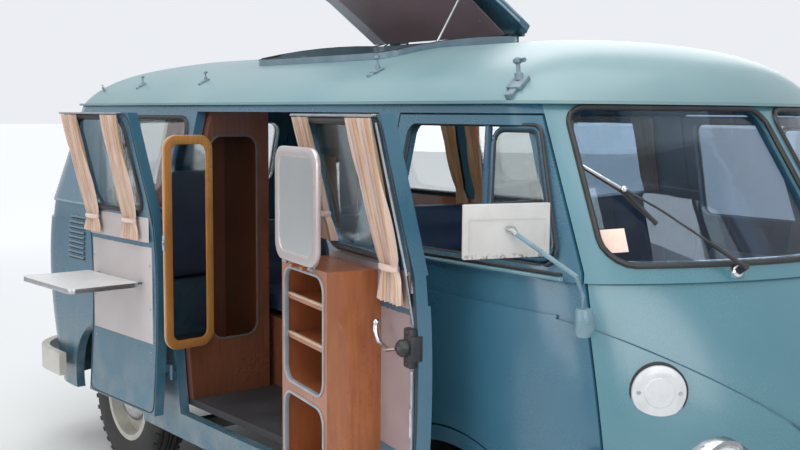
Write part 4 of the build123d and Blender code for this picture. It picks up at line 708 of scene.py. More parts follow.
# Side windows
# Fixed panes with rounded corners, held in thick black rubber that shows inside and outside.
WINDOWS = (
    # name, solid that carries it, body, low and high x
    ("load_front", "load_door_front", "loading_door_front", -1.012, -0.535),
    ("load_rear", "load_door_rear", "loading_door_rear", -1.612, -1.138),
    ("quarter_right", "quarter_right", "body", -2.285, -1.74),
    ("left_front", "side_left", "body", -1.012, -0.535),
    ("left_middle", "side_left", "body", -1.612, -1.138),
    ("left_rear", "side_left", "body", -2.285, -1.74),
)
WINDOW_MIDDLE_Z, WINDOW_HEIGHT, RUBBER_LAP = 1.47, 0.37, 0.007
for place, solid, body, low_x, high_x in WINDOWS:
    side = 1 if place.startswith("left") else -1
    skin = skin_of(solid, body=body)
    loop = rounded(high_x - low_x + 2 * RUBBER_LAP, WINDOW_HEIGHT + 2 * RUBBER_LAP, 0.066, 4)
    for face, start, direction in (("outer", side * BESIDE, -side), ("inner", 0, side)):
        starts = [((low_x + high_x) / 2 + x, start, WINDOW_MIDDLE_Z + up) for x, up in filled(loop, 0.12)]
        path = traced(skin, starts, (0, direction, 0))
        piece(tube(path, 0.01, 8, True), f"window_rubber_{place}_{face}", rubber, body)

# Door curtains
# Gathered cotton curtains in dusty pink with an ochre stripe, hung on a thin rail over each door window and
# tied near the foot, so that the ends flare into a frill.
BELT_HALF_WIDTH, BELT_Z, WALL_LEAN = 0.855, 1.25, 0.243
RAIL_Z, CURTAIN_TOP = 1.678, 1.672


def weave_of(name, clean, faded, stripe, stripes):
    """Cloth material whose stripes follow the piece's own UV map."""
    material = finish(name, clean, faded, 7, 300, 0.85, 0.95, 0.0003, Sheen_Weight=0.3)
    tree = material.node_tree
    across = along_axis(tree, place_in(tree, "UV"), "X")
    wave = worked(tree, "SINE", worked(tree, "MULTIPLY", across, stripes * 2 * pi))
    overlaid(material, spread(tree, wave, 0.0, 1.0, 0.0, 0.65), stripe)
    return material


def wall_out(z, lift=0.0):
    """Distance from the van's middle to the outside of its leaning upper wall."""
    return BELT_HALF_WIDTH - max(z - BELT_Z, 0) * WALL_LEAN + lift


def inner_wall(z, side=-1, gap=0.02):
    """y of a hanging cloth just inside the leaning upper wall."""
    return side * (wall_out(z) - 0.042 - gap)


def curtain(name, low_z, tie_z, top, foot, cloth, pleats, side=-1, body="body"):
    """Gathered sheet between a rail and a tie. top and foot are its (middle x, width) at each end."""
    bm = bmesh.new()
    bmesh.ops.create_grid(bm, x_segments=pleats * 12, y_segments=40, size=0.5, calc_uvs=False)
    uv = bm.loops.layers.uv.new("cloth")
    for face in bm.faces:
        for loop in face.loops:
            loop[uv].uv = (loop.vert.co.x + 0.5, loop.vert.co.y + 0.5)
    length = CURTAIN_TOP - low_z
    for corner in bm.verts:
        share, height = corner.co.x + 0.5, corner.co.y + 0.5
        z = low_z + length * height
        if z > tie_z:
            part = (z - tie_z) / (CURTAIN_TOP - tie_z)
            width = foot[1] + (top[1] - foot[1]) * part ** 0.7
            middle = foot[0] + (top[0] - foot[0]) * part
            deep = 0.01
        else:
            part = (tie_z - z) / (tie_z - low_z)
            width = foot[1] * (1 + 0.4 * part ** 0.6)
            middle = foot[0]
            deep = 0.009 + 0.004 * part
        width *= 1 - 0.16 * max(0, 1 - abs(z - tie_z) / 0.03)  # drawn in by the tie
        turn = share * pleats * 2 * pi + 0.5 * sin(z * 13 + pleats)
        fold = sin(turn) + 0.25 * sin(turn * 2.3 + z * 9)
        x = middle + (share - 0.5) * width + 0.15 * width / pleats * sin(turn * 2)
        corner.co = (x, inner_wall(z, side) + deep * fold, z)
    sheet = piece(bm, name, cloth, body, angle=180)
    return sheet


curtain_cloth = weave_of("dusty pink cotton", (0.56, 0.42, 0.37), (0.66, 0.53, 0.46), (0.62, 0.38, 0.17), 2)
DOOR_CURTAINS = {
    # leaf: name, lowest z, tie z, top (middle x, width), foot (middle x, width)
    "front": (("outer", 1.165, 1.262, (-0.975, 0.155), (-0.965, 0.105)),
              ("hinge", 1.3, 1.38, (-0.56, 0.105), (-0.575, 0.075))),
    "rear": (("outer", 1.17, 1.235, (-1.18, 0.135), (-1.168, 0.112)),
             ("hinge", 1.165, 1.24, (-1.545, 0.135), (-1.505, 0.112))),
}
for leaf, low_x, high_x, _ in LEAVES:
    body = "loading_door_" + leaf
    y = inner_wall(1.675, gap=0.024)
    low_end = max(low_x + 0.015, -1.625)
    bm = tube([(low_end, y, RAIL_Z), (high_x - 0.015, y, RAIL_Z)], 0.004)
    for x in (low_end + 0.012, high_x - 0.03):
        tube([(x, y, RAIL_Z), (x, y - 0.026, RAIL_Z)], 0.004, 6, bm=bm)
    rail = piece(bm, f"curtain_rail_{leaf}", bare_steel, body)
    for name, low_z, tie_z, top, foot in DOOR_CURTAINS[leaf]:
        cloth = curtain(f"curtain_{leaf}_{name}", low_z, tie_z, top, foot, curtain_cloth, 6, body=body)
        if name == "outer":
            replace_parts(cloth, f"curtains_{leaf}")
        reach, y = foot[1] * 0.46, inner_wall(tie_z)
        turns = [step * pi / 8 for step in range(16)]
        loop = [(foot[0] + reach * cos(turn), y + 0.015 * sin(turn), tie_z) for turn in turns]
        piece(tube(loop, 0.005, 6, True, 2.0), f"curtain_tie_{leaf}_{name}", curtain_cloth, body)

# Curtains across the van
# The left windows have ochre curtains on one long rail, drawn to both sides of each pane and tied.
far_cloth = weave_of("ochre cotton", (0.46, 0.27, 0.13), (0.56, 0.4, 0.28), (0.42, 0.2, 0.06), 4)
far_y = -inner_wall(1.675, gap=0.024)
far_rail = tube([(-2.33, far_y, RAIL_Z), (-0.47, far_y, RAIL_Z)], 0.004)
far_rail = piece(far_rail, "curtain_rail_left", bare_steel)
for index, x in enumerate((-0.56, -0.99, -1.16, -1.59, -1.77, -2.26)):
    foot = (x + (-0.02 if index % 2 else 0.02), 0.06)
    curtain(f"curtain_left_{index + 1}", 1.19, 1.31, (x, 0.11), foot, far_cloth, 5, side=1)

# Cabinet on the front loading door
# Varnished plywood case with two openings, the upper one with two shelves. Each opening is cut with round
# corners and edged with a grey-blue strip; the shelf edges are pale.


def wood(name, light, dark, scale=14.0):
    """Varnished wood with upright grain."""
    material = finish(name, light, dark, 2.2, 60, 0.25, 0.4, 0.0003, Coat_Weight=0.35)
    tree = material.node_tree
    stretch = tree.nodes.new("ShaderNodeMapping")
    stretch.inputs["Scale"].default_value = (6, 6, 0.6)
    tree.links.new(place_in(tree), stretch.inputs["Vector"])
    grain = noise(tree, stretch.outputs["Vector"], scale, 6.0, 0.65)
    overlaid(material, spread(tree, grain, 0.42, 0.68, 0.0, 0.85), dark)
    return material


plywood = wood("varnished red-brown plywood", (0.2, 0.072, 0.036), (0.115, 0.038, 0.02))
cabinet_wood = wood("varnished orange plywood", (0.37, 0.125, 0.044), (0.24, 0.072, 0.026))
grey_edging = finish("grey-blue edge strip", (0.3, 0.34, 0.38), (0.22, 0.25, 0.28), 14, 300, 0.3, 0.5, 0.0002)
pale_edging = finish("worn pale edge strip", (0.55, 0.42, 0.3), (0.42, 0.3, 0.2), 20, 300, 0.4, 0.6, 0.0003)
dress(cabinet_wood, "door_cabinet")
dress(plywood, "wardrobe", "galley", "bench_base")
CABINET_X, CABINET_FACE_Y = -0.682, -0.652
bm = bmesh.new()
for low_z, high_z in ((0.56, 0.838), (0.87, 1.222)):
    outer = rounded(0.3 + 0.006, high_z - low_z + 0.006, 0.053, 6)
    inner = rounded(0.3 - 0.01, high_z - low_z - 0.01, 0.045, 6)
    seat = Matrix.Translation((CABINET_X, CABINET_FACE_Y - 0.012, (low_z + high_z) / 2)) @ WALL
    plate(outer, seat, -0.016, inner, bm)
piece(bm, "cabinet_opening_trim", grey_edging, "loading_door_front", soft=0.002)
bm = bmesh.new()
for z in (1.006, 1.127):
    low = (CABINET_X - 0.149, CABINET_FACE_Y - 0.022, z - 0.001)
    slab(low, (CABINET_X + 0.149, CABINET_FACE_Y - 0.01, z + 0.012), bm=bm)
piece(bm, "cabinet_shelf_edges", pale_edging, "loading_door_front")

# Mirror flap over the cabinet
# A swinging mirror in a rounded pale metal frame, hinged along its foot with two small leaves.
opened["mirror_flap"] = opened["loading_door_front"]
flap_frame = finish(
    "brushed pale metal frame", (0.5, 0.45, 0.45), (0.44, 0.39, 0.39), 6, 300, 0.25, 0.4, 0.0001,
    Metallic=0.5)
mirror_glass = finish(
    "silvered mirror", (0.8, 0.82, 0.82), (0.72, 0.74, 0.74), 3, 200, 0.02, 0.06, 0.0, Metallic=1.0)
seat = Matrix.Translation((CABINET_X, -0.64, 1.417)) @ WALL
flap = plate(rounded(0.322, 0.34, 0.055, 8), seat, -0.016, rounded(0.262, 0.28, 0.038, 8))
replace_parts(piece(flap, "flap_frame", flap_frame, "mirror_flap", soft=0.004), "mirror_flap")
silver = plate(rounded(0.266, 0.284, 0.04, 8), seat @ Matrix.Translation((0, 0, -0.012)), 0.008)
piece(silver, "flap_mirror", mirror_glass, "mirror_flap")
bm = bmesh.new()
for x in (CABINET_X - 0.1, CABINET_X + 0.1):
    slab((x - 0.018, -0.64, 1.24), (x + 0.018, -0.637, 1.262), 0.001, bm=bm)
    tube([(x - 0.018, -0.634, 1.24), (x + 0.018, -0.634, 1.24)], 0.004, bm=bm)
piece(bm, "flap_hinges", bare_steel, "mirror_flap")

# Lock and lever on the front loading door
# A dark cast lock on the closing edge, with a curved bright lever that turns the top and bottom bolts.
lining, _ = touched(skin_of("load_door_front", body="loading_door_front"), (-1.035, 0, 0.9), RIGHT)
y = lining.y
bm = slab((-1.072, y + 0.004, 0.995), (-1.03, y + 0.026, 1.105), 0.005)
slab((-1.079, y - 0.01, 1.015), (-1.068, y + 0.026, 1.085), 0.003, bm=bm)
for z in (1.008, 1.092):
    turned(((0, 0.005), (0.005, 0.004), (0.007, -0.001)), facing_to((-1.052, y + 0.026, z), LEFT), 12, bm)
boss = ((0, 0.022), (0.018, 0.02), (0.024, 0.012), (0.024, -0.01))
turned(boss, facing_to((-1.044, y + 0.028, 1.05), LEFT), 20, bm)
piece(bm, "door_lock_body", dark_steel, "loading_door_front")
LEVER = (
    # x, distance from the lining, z
    (-1.04, 0.05, 1.05), (-1.0, 0.058, 1.04), (-0.955, 0.06, 1.05), (-0.925, 0.056, 1.078),
    (-0.914, 0.05, 1.1),
)
lever = [(x, y + out, z) for x, out, z in LEVER]
bm = tube(lever, 0.009, 10, False, 0.7)
bmesh.ops.create_icosphere(bm, subdivisions=2, radius=0.012, matrix=Matrix.Translation(lever[-1]))
for z in (0.6, 0.8, 1.2):
    tube([(-1.05, y + 0.01, z), (-1.05, y + 0.01, z + 0.08)], 0.005, bm=bm)
piece(bm, "door_lever", chrome, "loading_door_front")
# The lower rod's top is given twice, so that its end is drawn as a fan of faces.
bm = tube([(-1.052, y + 0.009, z) for z in (0.47, 0.985, 0.985)], 0.0045)
upper_rod = ((y + 0.009, 1.115), (inner_wall(1.25, gap=0.012), 1.25), (inner_wall(1.66, gap=0.008), 1.66))
tube([(-1.052, *spot) for spot in upper_rod], 0.0045, bm=bm)
piece(bm, "door_bolt_rods", bare_steel, "loading_door_front")

# Table on the rear loading door
# A pale laminate top edged with an aluminium band, hinged to the door and held out level.
opened["table"] = opened["loading_door_rear"]
laminate = finish("pale laminate", (0.72, 0.72, 0.71), (0.62, 0.62, 0.6), 5, 300, 0.25, 0.4, 0.0002)
aluminium = finish(
    "dull aluminium", (0.55, 0.56, 0.57), (0.42, 0.42, 0.43), 20, 400, 0.28, 0.45, 0.0002, Metallic=1.0)
dress(laminate, "door_table")
outer, inner = rounded(0.469, 0.304, 0.027, 6), rounded(0.4645, 0.2995, 0.0247, 6)
band = plate(outer, Matrix.Translation((-1.3525, -0.644, 0.9715)), 0.019, inner)
piece(band, "table_band", aluminium, "table", soft=0.0006)

# Wardrobe
# Tall red-brown cupboard behind the loading doorway. Its opening has round corners and grey edging. The
# door has a golden wooden frame round a mirror, with a bright catch.
opened["wardrobe_door"] = swung((-1.618, -0.724, 0), -174)
X_WALL = Matrix(((0, 0, 1, 0), (1, 0, 0, 0), (0, 1, 0, 0), (0, 0, 0, 1)))  # a plate that faces ahead
dark_edging = finish(
    "dark grey edge strip", (0.1, 0.1, 0.105), (0.07, 0.068, 0.07), 14, 300, 0.35, 0.5, 0.0002)
golden_wood = wood("golden wooden frame", (0.46, 0.22, 0.055), (0.3, 0.115, 0.028), 20)
WARDROBE_PLATES = (
    # name, material, body, x, thickness, softened edge, outline and opening as (width, height, corner)
    ("wardrobe_edging", dark_edging, "body", -1.648, 0.0045, 0.0015,
     (0.232, 0.858, 0.059), (0.214, 0.84, 0.05)),
    ("wardrobe_door_frame", golden_wood, "wardrobe_door", -1.643, 0.02, 0.005,
     (0.232, 0.858, 0.059), (0.158, 0.784, 0.03)),
    ("wardrobe_mirror", mirror_glass, "wardrobe_door", -1.64, 0.012, 0, (0.164, 0.79, 0.033), None),
    ("wardrobe_door_band", pale_edging, "wardrobe_door", -1.636, 0.005, 0,
     (0.2345, 0.8605, 0.06), (0.2315, 0.8575, 0.0588)),
)
for name, material, body, x, thick, soft, outer, inner in WARDROBE_PLATES:
    seat = Matrix.Translation((x, -0.6, 1.165)) @ X_WALL
    form = plate(rounded(*outer, 8), seat, thick, rounded(*inner, 8) if inner else None)
    made = piece(form, name, material, body, soft=soft)
    if name == "wardrobe_door_frame":
        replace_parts(made, "wardrobe_door")
bm = slab((-1.641, -0.4855, 1.14), (-1.625, -0.4815, 1.2), 0.001)
slab((-1.637, -0.483, 1.16), (-1.629, -0.477, 1.18), 0.002, bm=bm)
piece(bm, "wardrobe_catch", chrome, "wardrobe_door")

# Roof hatch
# A steel frame round the roof opening carries a lid hinged along its left edge. The lid is lined with a dark
# plum board with a paler section at its rear, and edged with a blue-grey trim; a thin stay holds it up.
opened["hatch_lid"] = swung((0, 0.287, 2.01), -34, "X")
plum_board = finish(
    "plum lining board", (0.175, 0.125, 0.14), (0.215, 0.165, 0.18), 3, 140, 0.35, 0.55, 0.0003)
lilac_board = finish(
    "grey-lilac lining board", (0.36, 0.37, 0.43), (0.42, 0.43, 0.48), 4, 140, 0.4, 0.6, 0.0003)
trim_paint = finish("blue-grey trim paint", (0.1, 0.16, 0.2), (0.15, 0.22, 0.26), 9, 240, 0.25, 0.45, 0.0003)
pale_strip = finish("pale blue-grey strip", (0.3, 0.4, 0.46), (0.38, 0.47, 0.52), 14, 240, 0.25, 0.45, 0.0002)
dress(trim_paint, "hatch_collar")
dress(bare_steel, "hatch_stay")
lid_skin = skin_of("hatch_lid", body="hatch_lid")
BELOW_ROOF, ABOVE_HATCH = 1.6, 2.5
low, _ = touched(lid_skin, (-1.285, -0.1, BELOW_ROOF), UP)
side, _ = touched(lid_skin, (-0.9, -0.3, BELOW_ROOF), UP)
under = min(low.z, side.z) - 0.003
board = plate(rounded(0.765, 0.58, 0.02, 4), Matrix.Translation((-1.2225, -0.088, under)), 0.003)
piece(board, "hatch_lining_front", plum_board, "hatch_lid", soft=0.0008)
board = slab((-1.69, -0.378, under), (-1.608, 0.202, under + 0.003), 0.0005)
piece(board, "hatch_lining_rear", lilac_board, "hatch_lid")
bm = bmesh.new()
for y in (-0.3, -0.1, 0.1):
    for x in (-1.62, -1.285, -0.9):
        turned(((0, -0.002), (0.004, -0.001), (0.006, 0.001)), Matrix.Translation((x, y, under)), 10, bm)
piece(bm, "hatch_lining_screws", bare_steel, "hatch_lid")
bm = bmesh.new()
for x in (-1.62, -0.95):
    slab((x - 0.035, 0.27, 2.008), (x + 0.035, 0.284, 2.012), 0.001, bm=bm)
    tube([(x - 0.035, 0.29, 2.01), (x + 0.035, 0.29, 2.01)], 0.006, 10, bm=bm)
piece(bm, "hatch_hinges", dark_steel)
rim = filled(rounded(0.922, 0.682, 0.033, 4), 0.1)
path = traced(skin_of("hatch_collar"), [(x - 1.285, y - 0.09, ABOVE_HATCH) for x, y in rim], DOWN)
piece(tube(path, 0.003, 6, True), "hatch_seal", rubber)
for strip, rise in (("low", 0.006), ("high", 0.024)):
    path = []
    for y in range(-4, 3):
        rim, _ = touched(lid_skin, (-0.806, y / 10, BELOW_ROOF), UP)
        path += traced(lid_skin, [(0.0, y / 10, rim.z + rise)], BACK)
    piece(tube(path, 0.0045), f"hatch_lid_strip_{strip}", pale_strip, "hatch_lid")

# Roof clamps
# Cast clamps along the right edge of the roof, once for a rack: a saddle on the paint, a short stem with a
# turned knob, and a strap down towards the gutter. The one over the cab is larger.
clamp_metal = finish(
    "grey-blue cast clamp", (0.11, 0.17, 0.21), (0.2, 0.27, 0.31), 25, 300, 0.35, 0.55, 0.0005)
roof_skin = skin_of("roof")
CLAMPS = (
    # x, y, size
    (-2.412, -0.629, 0.7), (-1.847, -0.614, 0.7), (-0.69, -0.59, 0.9), (0.085, -0.685, 1.25),
)
KNOB = (
    (0, 0.06), (0.006, 0.06), (0.011, 0.056), (0.011, 0.049), (0.005, 0.045), (0.005, 0.028), (0.01, 0.024),
    (0.01, 0.008), (0, 0.008),
)
for index, (x, y, big) in enumerate(CLAMPS, 1):
    point, out = touched(roof_skin, (x, y, OVERHEAD), DOWN)
    turn = facing_to(point, out) @ Matrix.Scale(big, 4)
    stand = Matrix.Translation(point) @ Matrix.Scale(big, 4)
    bm = slab((-0.02, -0.026, -0.002), (0.02, 0.02, 0.01), 0.003, turn)
    slab((-0.01, -0.05, -0.016), (0.01, -0.016, 0.006), 0.002, turn, bm)
    slab((-0.008, -0.054, -0.018), (0.008, -0.046, 0.01), 0.002, turn, bm)
    turned(KNOB, stand @ Matrix.Rotation(radians(-8), 4, "Y"), 16, bm)
    tube([stand @ Vector((-0.016, 0, 0.05)), stand @ Vector((0.016, 0, 0.054))], 0.005 * big, bm=bm)
    piece(bm, f"roof_clamp_{index}", clamp_metal)

# Roof rod
# A thin bright rod lies over the rear of the roof on three feet.
bm = bmesh.new()
path = []
for x, y in ((-2.74, -0.67), (-2.9, -0.6), (-3.04, -0.52)):
    point, out = touched(roof_skin, (x, y, OVERHEAD), DOWN)
    path.append(point + out * 0.022)
    tube([point - out * 0.002, point + out * 0.024], 0.005, bm=bm)
tube(path, 0.0035, bm=bm)
piece(bm, "roof_rod", bare_steel)

# Cab doors
# The window is split by a slim post into a swinging vent pane in a painted frame and a drop glass. Round
# the opening is a black seal, and a rolled edge in paint runs along the belt.
worn_teal = finish("worn gutter edge", (0.11, 0.24, 0.28), (0.2, 0.32, 0.35), 9, 240, 0.25, 0.45, 0.0003)
CAB_SIDES = ((-1, "right", "body"), (1, "left", "cab_door_left"))  # the right door doesn't move
# Loops in the door's plane, from corners given as (x, z).
WINDOW = round_corners(((-0.323, 1.285), (0.384, 1.285), (0.225, 1.655), (-0.323, 1.655)), 0.036, 4)
VENT = round_corners(((0.112, 1.3), (0.366, 1.3), (0.22, 1.646), (0.044, 1.646)), 0.034, 4)
VENT_PANE = round_corners(((0.122, 1.309), (0.353, 1.309), (0.214, 1.637), (0.055, 1.637)), 0.028, 4)
GRIP = ((-0.3, 0.01), (-0.296, 0.034), (-0.27, 0.042), (-0.2, 0.044), (-0.16, 0.038), (-0.152, 0.02))
GRIP_BASE = ((0, 0.014), (0.016, 0.012), (0.02, 0.004), (0.02, -0.004))


def on_door(side, points, lift):
    """Points (x, z) laid on the outside of a cab door and lifted off it."""
    return [Vector((x, side * wall_out(z, lift), z)) for x, z in points]


for side, hand, body in CAB_SIDES:
    skin = skin_of("cab_door_" + hand)
    outward, inward = (0, side, 0), (0, -side, 0)
    seal = tube(on_door(side, filled(WINDOW, 0.08), -0.014), 0.006, 8, True)
    piece(seal, f"cab_window_seal_{hand}", rubber, body)
    post = tube(on_door(side, ((0.022, 1.648), (0.094, 1.292)), -0.016), 0.011, 8, False, 1.3)
    piece(post, f"vent_post_{hand}", deep_teal_and_crease_shade, body)
    rim = tube(on_door(side, filled(VENT, 0.08), -0.016), 0.007, 8, True)
    piece(rim, f"vent_frame_{hand}", deep_teal_and_crease_shade, body)
    seal = tube(on_door(side, filled(VENT_PANE, 0.08), -0.014), 0.0035, 6, True)
    piece(seal, f"vent_seal_{hand}", rubber, body)
    bm = bmesh.new()
    bm.faces.new([bm.verts.new(point) for point in on_door(side, VENT_PANE, -0.018)])
    lifted(bm, bm.faces[:], (0, side * 0.004, 0))
    piece(bm, f"vent_pane_{hand}", clear_glass, body)
    y = side * 0.833
    catch = slab((0.165, y - 0.006, 1.325), (0.19, y + 0.006, 1.365), 0.003)
    piece(catch, f"vent_catch_{hand}", chrome, body)
    belt = on_door(side, [(-0.33 + 0.745 * step / 10, 1.262) for step in range(11)], 0.004)
    piece(tube(belt, 0.006), f"belt_roll_{hand}", worn_teal, body)
    seal = tube([point + Vector((0, 0, 0.012)) for point in belt], 0.005, 6)
    piece(seal, f"belt_seal_{hand}", rubber, body)
    y = touched(skin, (-0.27, side * BESIDE, 1.02), inward)[0].y
    bm = tube([(x, y + side * out, 1.02) for x, out in GRIP], 0.009, 10)
    turned(GRIP_BASE, facing_to((-0.3, y, 1.02), outward), 20, bm)
    piece(bm, f"cab_handle_{hand}", chrome, body)
    lining, _ = touched(skin, (-0.05, 0, 0.9), outward)
    seat = Matrix.Translation((-0.02, lining.y - side * 0.003, 0.96)) @ WALL
    card = plate(rounded(0.56, 0.4, 0.04, 4), seat, 0.003 * side)
    piece(card, f"cab_door_card_{hand}", board_paint, body, soft=0.001)
    bm = bmesh.new()
    for point in traced(skin, [(0.505, side * BESIDE, z) for z in (0.6, 0.8)], inward):
        middle = point + Vector((0.022, side * 0.003, 0))
        tube([middle - Vector((0, 0, 0.03)), middle + Vector((0, 0, 0.03))], 0.01, 12, bm=bm)
    piece(bm, f"cab_hinge_pins_{hand}", teal, body)

# Door mirrors
# A flat cream plate with a thin pressed border, rusty at its lower edges, on a painted arm that rises
# from a foot on the hinge pillar. Its tip is bright.
cream = finish("cream mirror paint", (0.55, 0.55, 0.54), (0.49, 0.48, 0.46), 8, 240, 0.35, 0.5, 0.0003)
tree = cream.node_tree
place = place_in(tree)
low_edge = spread(tree, along_axis(tree, place, "Z"), 1.333, 1.32)
rust = worked(tree, "MULTIPLY", spread(tree, noise(tree, place, 95, 6), 0.5, 0.6), low_edge)
overlaid(cream, rust, (0.14, 0.075, 0.05))
arm_paint = finish("blue-grey arm paint", (0.12, 0.21, 0.26), (0.18, 0.28, 0.33), 16, 240, 0.22, 0.4, 0.0003)
BORDERS = (
    # low and high corner (across, up) of each pressed line on the plate
    ((-0.11, 0.03), (0.11, 0.032)), ((-0.11, -0.058), (-0.108, 0.03)), ((0.108, -0.058), (0.11, 0.03)),
)
FOOT = ((0, 0.072), (0.018, 0.07), (0.023, 0.064), (0.023, 0.004), (0.018, -0.002), (0, -0.003))
for side, hand, body in CAB_SIDES:
    toe = Matrix.Translation((0.33, side * 0.973, 1.388)) @ Matrix.Rotation(radians(18) * side, 4, "Z")
    bm = slab((-0.008, -0.123, -0.07), (0.006, 0.123, 0.07), 0.003, toe)
    for low, high in BORDERS:
        slab((0.0055, *low), (0.0075, *high), 0, toe, bm)
    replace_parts(piece(bm, f"mirror_plate_{hand}", cream, body), f"mirror_{hand}")
    silver = slab((-0.0095, -0.115, -0.062), (-0.0075, 0.115, 0.062), 0.0006, toe)
    piece(silver, f"mirror_silver_{hand}", mirror_glass, body)
    tip = toe @ Vector((0.012, 0, 0.006))
    elbow, shoulder, base = (Vector((x, side * y, z)) for x, y, z in (
        (0.505, 0.902, 1.285), (0.51, 0.884, 1.235), (0.504, 0.872, 1.16)))
    end = [tip + Vector((-0.004, 0, 0)), tip + Vector((0.014, 0, 0.002)), tip.lerp(elbow, 0.1)]
    piece(tube(end, 0.008, 10), f"mirror_arm_tip_{hand}", chrome, body)
    arm = [tip.lerp(elbow, 0.06), tip.lerp(elbow, 0.5), elbow, shoulder, base]
    piece(tube(arm, 0.0065, 10), f"mirror_arm_{hand}", arm_paint, body)
    bm = turned(FOOT, Matrix.Translation((0.502, side * 0.868, 1.13)), 24)
    slab((0.478, side * 0.858 - 0.012, 1.14), (0.526, side * 0.858 + 0.008, 1.188), 0.004, bm=bm)
    piece(bm, f"mirror_foot_{hand}", arm_paint, body)

# Cushions
# Foam cushions covered in blue vinyl on the bench and the cab seat. Each is crowned, pulls in along its
# sides, has piping round its seams and sewn channels across its face.
seat_vinyl = finish("blue seat vinyl", (0.022, 0.042, 0.085), (0.04, 0.068, 0.12), 5, 420, 0.35, 0.5, 0.0006)
piping = finish("dark seat piping", (0.02, 0.035, 0.06), (0.045, 0.06, 0.085), 12, 300, 0.4, 0.6, 0.0003)


def cushion(name, low, high, face, crown, channels):
    """Crowned closed form in the box between two corners; face is the axis that its soft side looks along."""
    low, high = Vector(low), Vector(high)
    half, middle = (high - low) / 2, (low + high) / 2
    up = "xyz".index(face)
    wide, long = (axis for axis in range(3) if axis != up)

    def inside(across, along, rise, pull):
        """Place for two shares of the half sizes and a height; the sides pull in between the corners."""
        place = Vector((0, 0, 0))
        place[wide] = across * (half[wide] - pull * (1 - along * along) * abs(across))
        place[long] = along * (half[long] - pull * (1 - across * across) * abs(along))
        place[up] = rise
        return middle + place

    bm = bmesh.new()
    bmesh.ops.create_cube(bm, size=2)
    bmesh.ops.subdivide_edges(bm, edges=bm.edges[:], cuts=23, use_grid_fill=True)
    for _ in range(3):
        bmesh.ops.smooth_vert(
            bm, verts=bm.verts, factor=0.5, use_axis_x=True, use_axis_y=True, use_axis_z=True)
    reach = max(corner.co.x for corner in bm.verts)
    seams = [2 * (step + 1) / (channels + 1) - 1 for step in range(channels)]
    for corner in bm.verts:
        across, along, rise = (corner.co[axis] / reach for axis in (wide, long, up))
        height = rise * (half[up] - crown)
        if rise > 0.5:
            bulge = crown * (1 - across ** 4) * (1 - along ** 4)
            groove = sum(0.006 * max(0, 1 - abs(along - seam) * 14) for seam in seams)
            height += (bulge - groove * (1 - across ** 6)) * min(1, (rise - 0.5) * 2)
        corner.co = inside(across, along, height, 0.012)
    soft = piece(bm, name, seat_vinyl, angle=80)
    bm = bmesh.new()
    for level in (-0.82, 0.82):
        loop = filled(rounded(1.94, 1.94, 0.12, 4), 0.25)
        tube([inside(*spot, level * (half[up] - crown), 0.01) for spot in loop], 0.004, 6, True, bm=bm)
    piece(bm, name + "_piping", piping)
    return soft


bench_seat = cushion("bench_seat_cushion", (-1.904, -0.38, 0.801), (-1.56, 0.4, 0.915), "z", 0.018, 3)
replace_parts(bench_seat, "bench_cushions")
cushion("bench_back_cushion", (-2.003, -0.38, 0.802), (-1.908, 0.4, 1.2), "x", 0.014, 3)
cab_cushion = cushion("cab_seat_cushion", (-0.372, -0.7, 0.801), (0.07, 0.7, 0.915), "z", 0.018, 5)
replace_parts(cab_cushion, "cab_seat")
cushion("cab_back_cushion", (-0.505, -0.7, 0.81), (-0.385, 0.7, 1.385), "x", 0.018, 5)

# Dashboard and steering wheel
# A painted steel dashboard with one round dial in a bright ring, a row of knobs and a lid, and a black
# wheel on its column.
black_plastic = finish(
    "old black plastic", (0.012, 0.012, 0.013), (0.03, 0.03, 0.03), 10, 400, 0.25, 0.45, 0.0002)
dial_face = finish("dial face", (0.03, 0.035, 0.035), (0.05, 0.05, 0.05), 20, 200, 0.3, 0.5, 0.0001)
dress(black_plastic, "steering_wheel", "steering_column")
DASH_FACE_X = 0.499
DIAL_RING = ((0, 0.004), (0.05, 0.004), (0.054, 0.009), (0.06, 0.006), (0.06, -0.004))
KNOB_FORM = ((0, 0.024), (0.01, 0.022), (0.012, 0.014), (0.005, 0.01), (0.005, -0.002))
seat = facing_to((DASH_FACE_X, 0.39, 1.16), BACK)
piece(turned(DIAL_RING, seat), "dial_ring", chrome)
piece(turned(((0, 0.0055), (0.05, 0.005)), seat), "dial", dial_face)
bm = bmesh.new()
for y in (0.24, 0.16, 0.08, -0.08):
    turned(KNOB_FORM, facing_to((DASH_FACE_X, y, 1.15), BACK), 16, bm)
piece(bm, "dash_knobs", black_plastic)
piece(slab((0.488, -0.56, 1.12), (DASH_FACE_X, -0.28, 1.2), 0.003), "glovebox_lid", teal)

# Cloth on the dashboard
# A pale pink cotton cloth lies folded along the front of the dashboard, with its edge slightly rumpled.
dash_skin = skin_of("dashboard")
nose_inside = skin_of("nose_panel", "screen_frame")
bm = bmesh.new()
bmesh.ops.create_grid(bm, x_segments=16, y_segments=60, size=0.5)
for corner in bm.verts:
    across, along = corner.co.x, corner.co.y
    y = -0.53 + 0.3 * along
    front, _ = touched(nose_inside, (0.3, y, 1.235), AHEAD)
    x = front.x - 0.085 + 0.09 * across
    top, _ = touched(dash_skin, (x, y, BELOW_ROOF), DOWN)
    ripple = 0.006 * sin(along * 19 + across * 4) * sin(across * 5 + 1.3) + 0.004 * sin(along * 41 + 2)
    corner.co = (x + 0.006 * sin(along * 23), y, top.z + 0.013 + ripple)
dash_cloth = piece(bm, "dash_cloth", card_white, angle=180)

